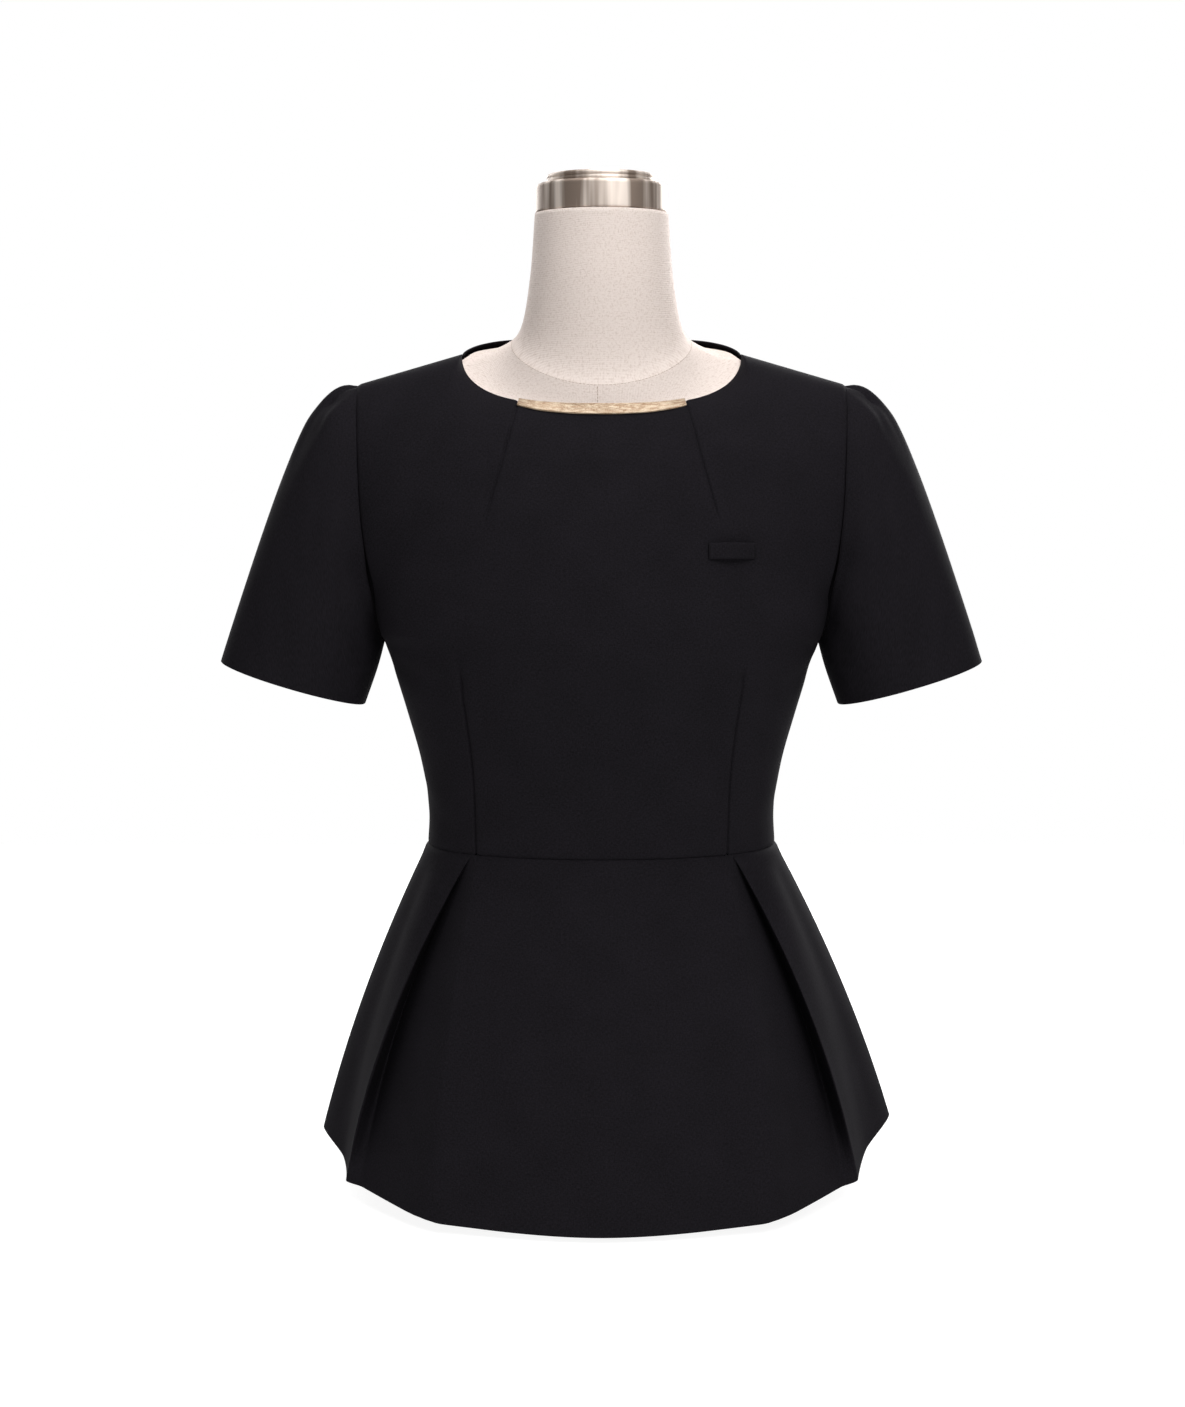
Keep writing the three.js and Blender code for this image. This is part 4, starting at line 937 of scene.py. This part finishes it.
def turned(name, profile, nodes):
    """A solid of revolution about the upright axis, from (radius, height) points in millimetres."""
    profile = np.asarray(profile, float)
    angle = np.linspace(0, 2 * np.pi, CAP_SIDES, endpoint=False)
    radius, height = profile[:, 0][:, None], profile[:, 1][:, None]
    points = np.stack([radius * np.cos(angle), radius * np.sin(angle), height + 0 * angle], -1)
    corners = np.concatenate([points.reshape(-1, 3), [[0, 0, profile[0, 1]], [0, 0, profile[-1, 1]]]])
    faces = ring_faces(len(profile), CAP_SIDES).tolist()
    first, last = np.arange(CAP_SIDES), (len(profile) - 1) * CAP_SIDES + np.arange(CAP_SIDES)
    faces += [[len(corners) - 2, b, a] for a, b in zip(first, np.roll(first, -1))]
    faces += [[len(corners) - 1, a, b] for a, b in zip(last, np.roll(last, -1))]
    mesh = bpy.data.meshes.new(name)
    mesh.from_pydata((corners * MM).tolist(), [], faces)
    smooth_shaded(mesh)
    return dress(put_in_scene(name, mesh), steel, nodes)


def rounded(radius, height, edge, start, end):
    angle = np.radians(np.linspace(start, end, 9))
    return [(radius - edge * (1 - np.cos(a)), height - edge * (1 - np.sin(a))) for a in angle]


# Stainless steel turned on a lathe and left satin, warm grey: its soft upright streaks of light are painted
# reflections in the base colour.
steel, tree, shader = new_material("satin_stainless_steel")
place = add_node(tree, "ShaderNodeTexCoord").outputs["Object"]
squash = add_node(tree, "ShaderNodeMapping", {"Vector": place, "Location": (4, 2, 0), "Scale": (60, 60, 3)})
painted_reflection_streak = add_node(tree, "ShaderNodeTexNoise", {"Vector": squash.outputs["Vector"], "Scale": 1, "Detail": 3})
# Painted reflection: stretched noise lays upright light and dark bands into the base colour, standing in for
# lamps mirrored in the steel.
shade = add_node(
    tree, "ShaderNodeMapRange",
    {"Value": painted_reflection_streak.outputs["Fac"], "From Min": 0.42, "From Max": 0.58},
)
tint = add_node(
    tree, "ShaderNodeMix", {0: shade.outputs["Result"], 6: linear("#85766b"), 7: linear("#e0d4ca")},
    data_type="RGBA",
)
tree.links.new(tint.outputs[2], shader.inputs["Base Color"])
shader.inputs["Metallic"].default_value = 0.75
shader.inputs["Roughness"].default_value = 0.58
band = [(46.5, 711.3), (47.4, 711.5), (48, 712.2), (48, 713), *rounded(48, 732, 3.2, 0, 90)]
band += [(42.5, 732), (42, 731.9), (40, 731.9)]
turned("form_neck_cap_band_turned", band, ["form_neck_cap_band"])
disc = [(39.2, 732.2), (39.7, 732.4), (40, 733), (40, 734.6), (39.6, 735), (39.6, 735.6), (40, 736)]
disc += [*rounded(40, 738.8, 2, 0, 80), (34, 739.2), (26, 739.7), (14, 740)]
turned("form_neck_cap_disc_turned", disc, ["form_neck_cap_disc"])

# Zip: a concealed coil zip down the centre back, whose slider and pull tab show at its top, the tab
# on the slider's pin.
# Zinc, die cast and plated with black nickel: a smooth dark grey metal with soft glints.
zip_metal, tree, shader = new_material("black_nickel_die_cast_zinc")
cast = add_node(tree, "ShaderNodeTexCoord").outputs["Object"]
pits = add_node(tree, "ShaderNodeTexNoise", {"Vector": cast, "Scale": 900, "Detail": 2})
bump = add_node(tree, "ShaderNodeBump", {"Height": pits.outputs["Fac"], "Strength": 0.15, "Distance": 0.0001})
tree.links.new(bump.outputs["Normal"], shader.inputs["Normal"])
shader.inputs["Base Color"].default_value = linear("#3a3a3d")
shader.inputs["Metallic"].default_value = 1
shader.inputs["Roughness"].default_value = 0.34
for node in ("zip_slider", "zip_pull"):
    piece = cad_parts[node]
    piece.data.materials.clear()
    piece.data.materials.append(zip_metal)

# Nylon coil, moulded and dyed black: close round turns with a low waxy gloss.
nylon, tree, shader = new_material("moulded_nylon_coil_black")
shader.inputs["Base Color"].default_value = linear("#1c1c1e")
shader.inputs["Roughness"].default_value = 0.45
bodice_part = bodice_point(1, 0.0, np.linspace(1.93, 0, 90))
peplum_part = peplum_point(2.0, np.linspace(0.01, 0.6, 50))
COIL_DEPTH = 1.3
coil_path = np.concatenate([bodice_part, peplum_part]) * [0, 1, 1] + [0, -COIL_DEPTH, 0]
coil = sewn_line("zip_coil_teeth", coil_path, 0.85, 0.4, 0.7)
dress(coil, nylon)

# Studio: a matt white floor under a white sky, soft boxes high at the front, overhead and behind at
# both sides, and a camera at chest height that looks a little down.
bpy.ops.mesh.primitive_plane_add(size=3.4)
floor = bpy.context.object
floor.name = "studio_floor"
# White seamless paper, evenly lit: plain white to the eye, with little light thrown back up.
paper, tree, shader = new_material("matt_white_paper")
shader.inputs["Base Color"].default_value = linear("#8c8c8c")
shader.inputs["Roughness"].default_value = 0.95
shader.inputs["Specular IOR Level"].default_value = 0.1
shader.inputs["Emission Color"].default_value = linear("#ffffff")
shader.inputs["Emission Strength"].default_value = 0.9
floor.data.materials.append(paper)
world = bpy.data.worlds.new("white_studio")
world.use_nodes = True
tree = world.node_tree
way = add_node(tree, "ShaderNodeTexCoord").outputs["Generated"]
split = add_node(tree, "ShaderNodeSeparateXYZ", {"Vector": way})
back = add_node(
    tree, "ShaderNodeMapRange",
    {"Value": split.outputs["Y"], "From Min": 0.35, "From Max": 0.93, "To Min": 0.2, "To Max": 1.0},
)
tree.links.new(back.outputs["Result"], tree.nodes["Background"].inputs["Strength"])
tree.nodes["Background"].inputs["Color"].default_value = (1, 1, 1, 1)
bpy.context.scene.world = world


def soft_box(name, place, aim, size, watts):
    light = bpy.data.lights.new(name, "AREA")
    light.shape, light.size, light.energy = "SQUARE", size, watts
    lamp = put_in_scene(name, light)
    lamp.location = place
    lamp.rotation_mode = "QUATERNION"
    lamp.rotation_quaternion = (Vector(aim) - Vector(place)).to_track_quat("-Z", "Y")


soft_box("front_soft_box", (0.45, -1.3, 1.5), (0, 0, 0.45), 0.9, 19)
soft_box("left_soft_box", (-0.95, 1.9, 1.1), (0, 0, 0.3), 1.0, 36)
soft_box("right_soft_box", (0.95, 1.8, 1.1), (0, 0, 0.3), 1.0, 70)
soft_box("top_soft_box", (0, -0.2, 2.3), (0, 0, 0.4), 1.2, 29)
camera_data = bpy.data.cameras.new("photo_camera")
camera = put_in_scene("photo_camera", camera_data)
CAMERA_TILT = 5.06
camera_data.sensor_width = 36
camera_data.lens = 64.47
camera.location = (-0.0066, -1.857, 0.518)
camera.rotation_euler = (np.radians(90 - CAMERA_TILT), 0, 0)
bpy.context.scene.camera = camera
bpy.context.scene.view_settings.view_transform = "Standard"
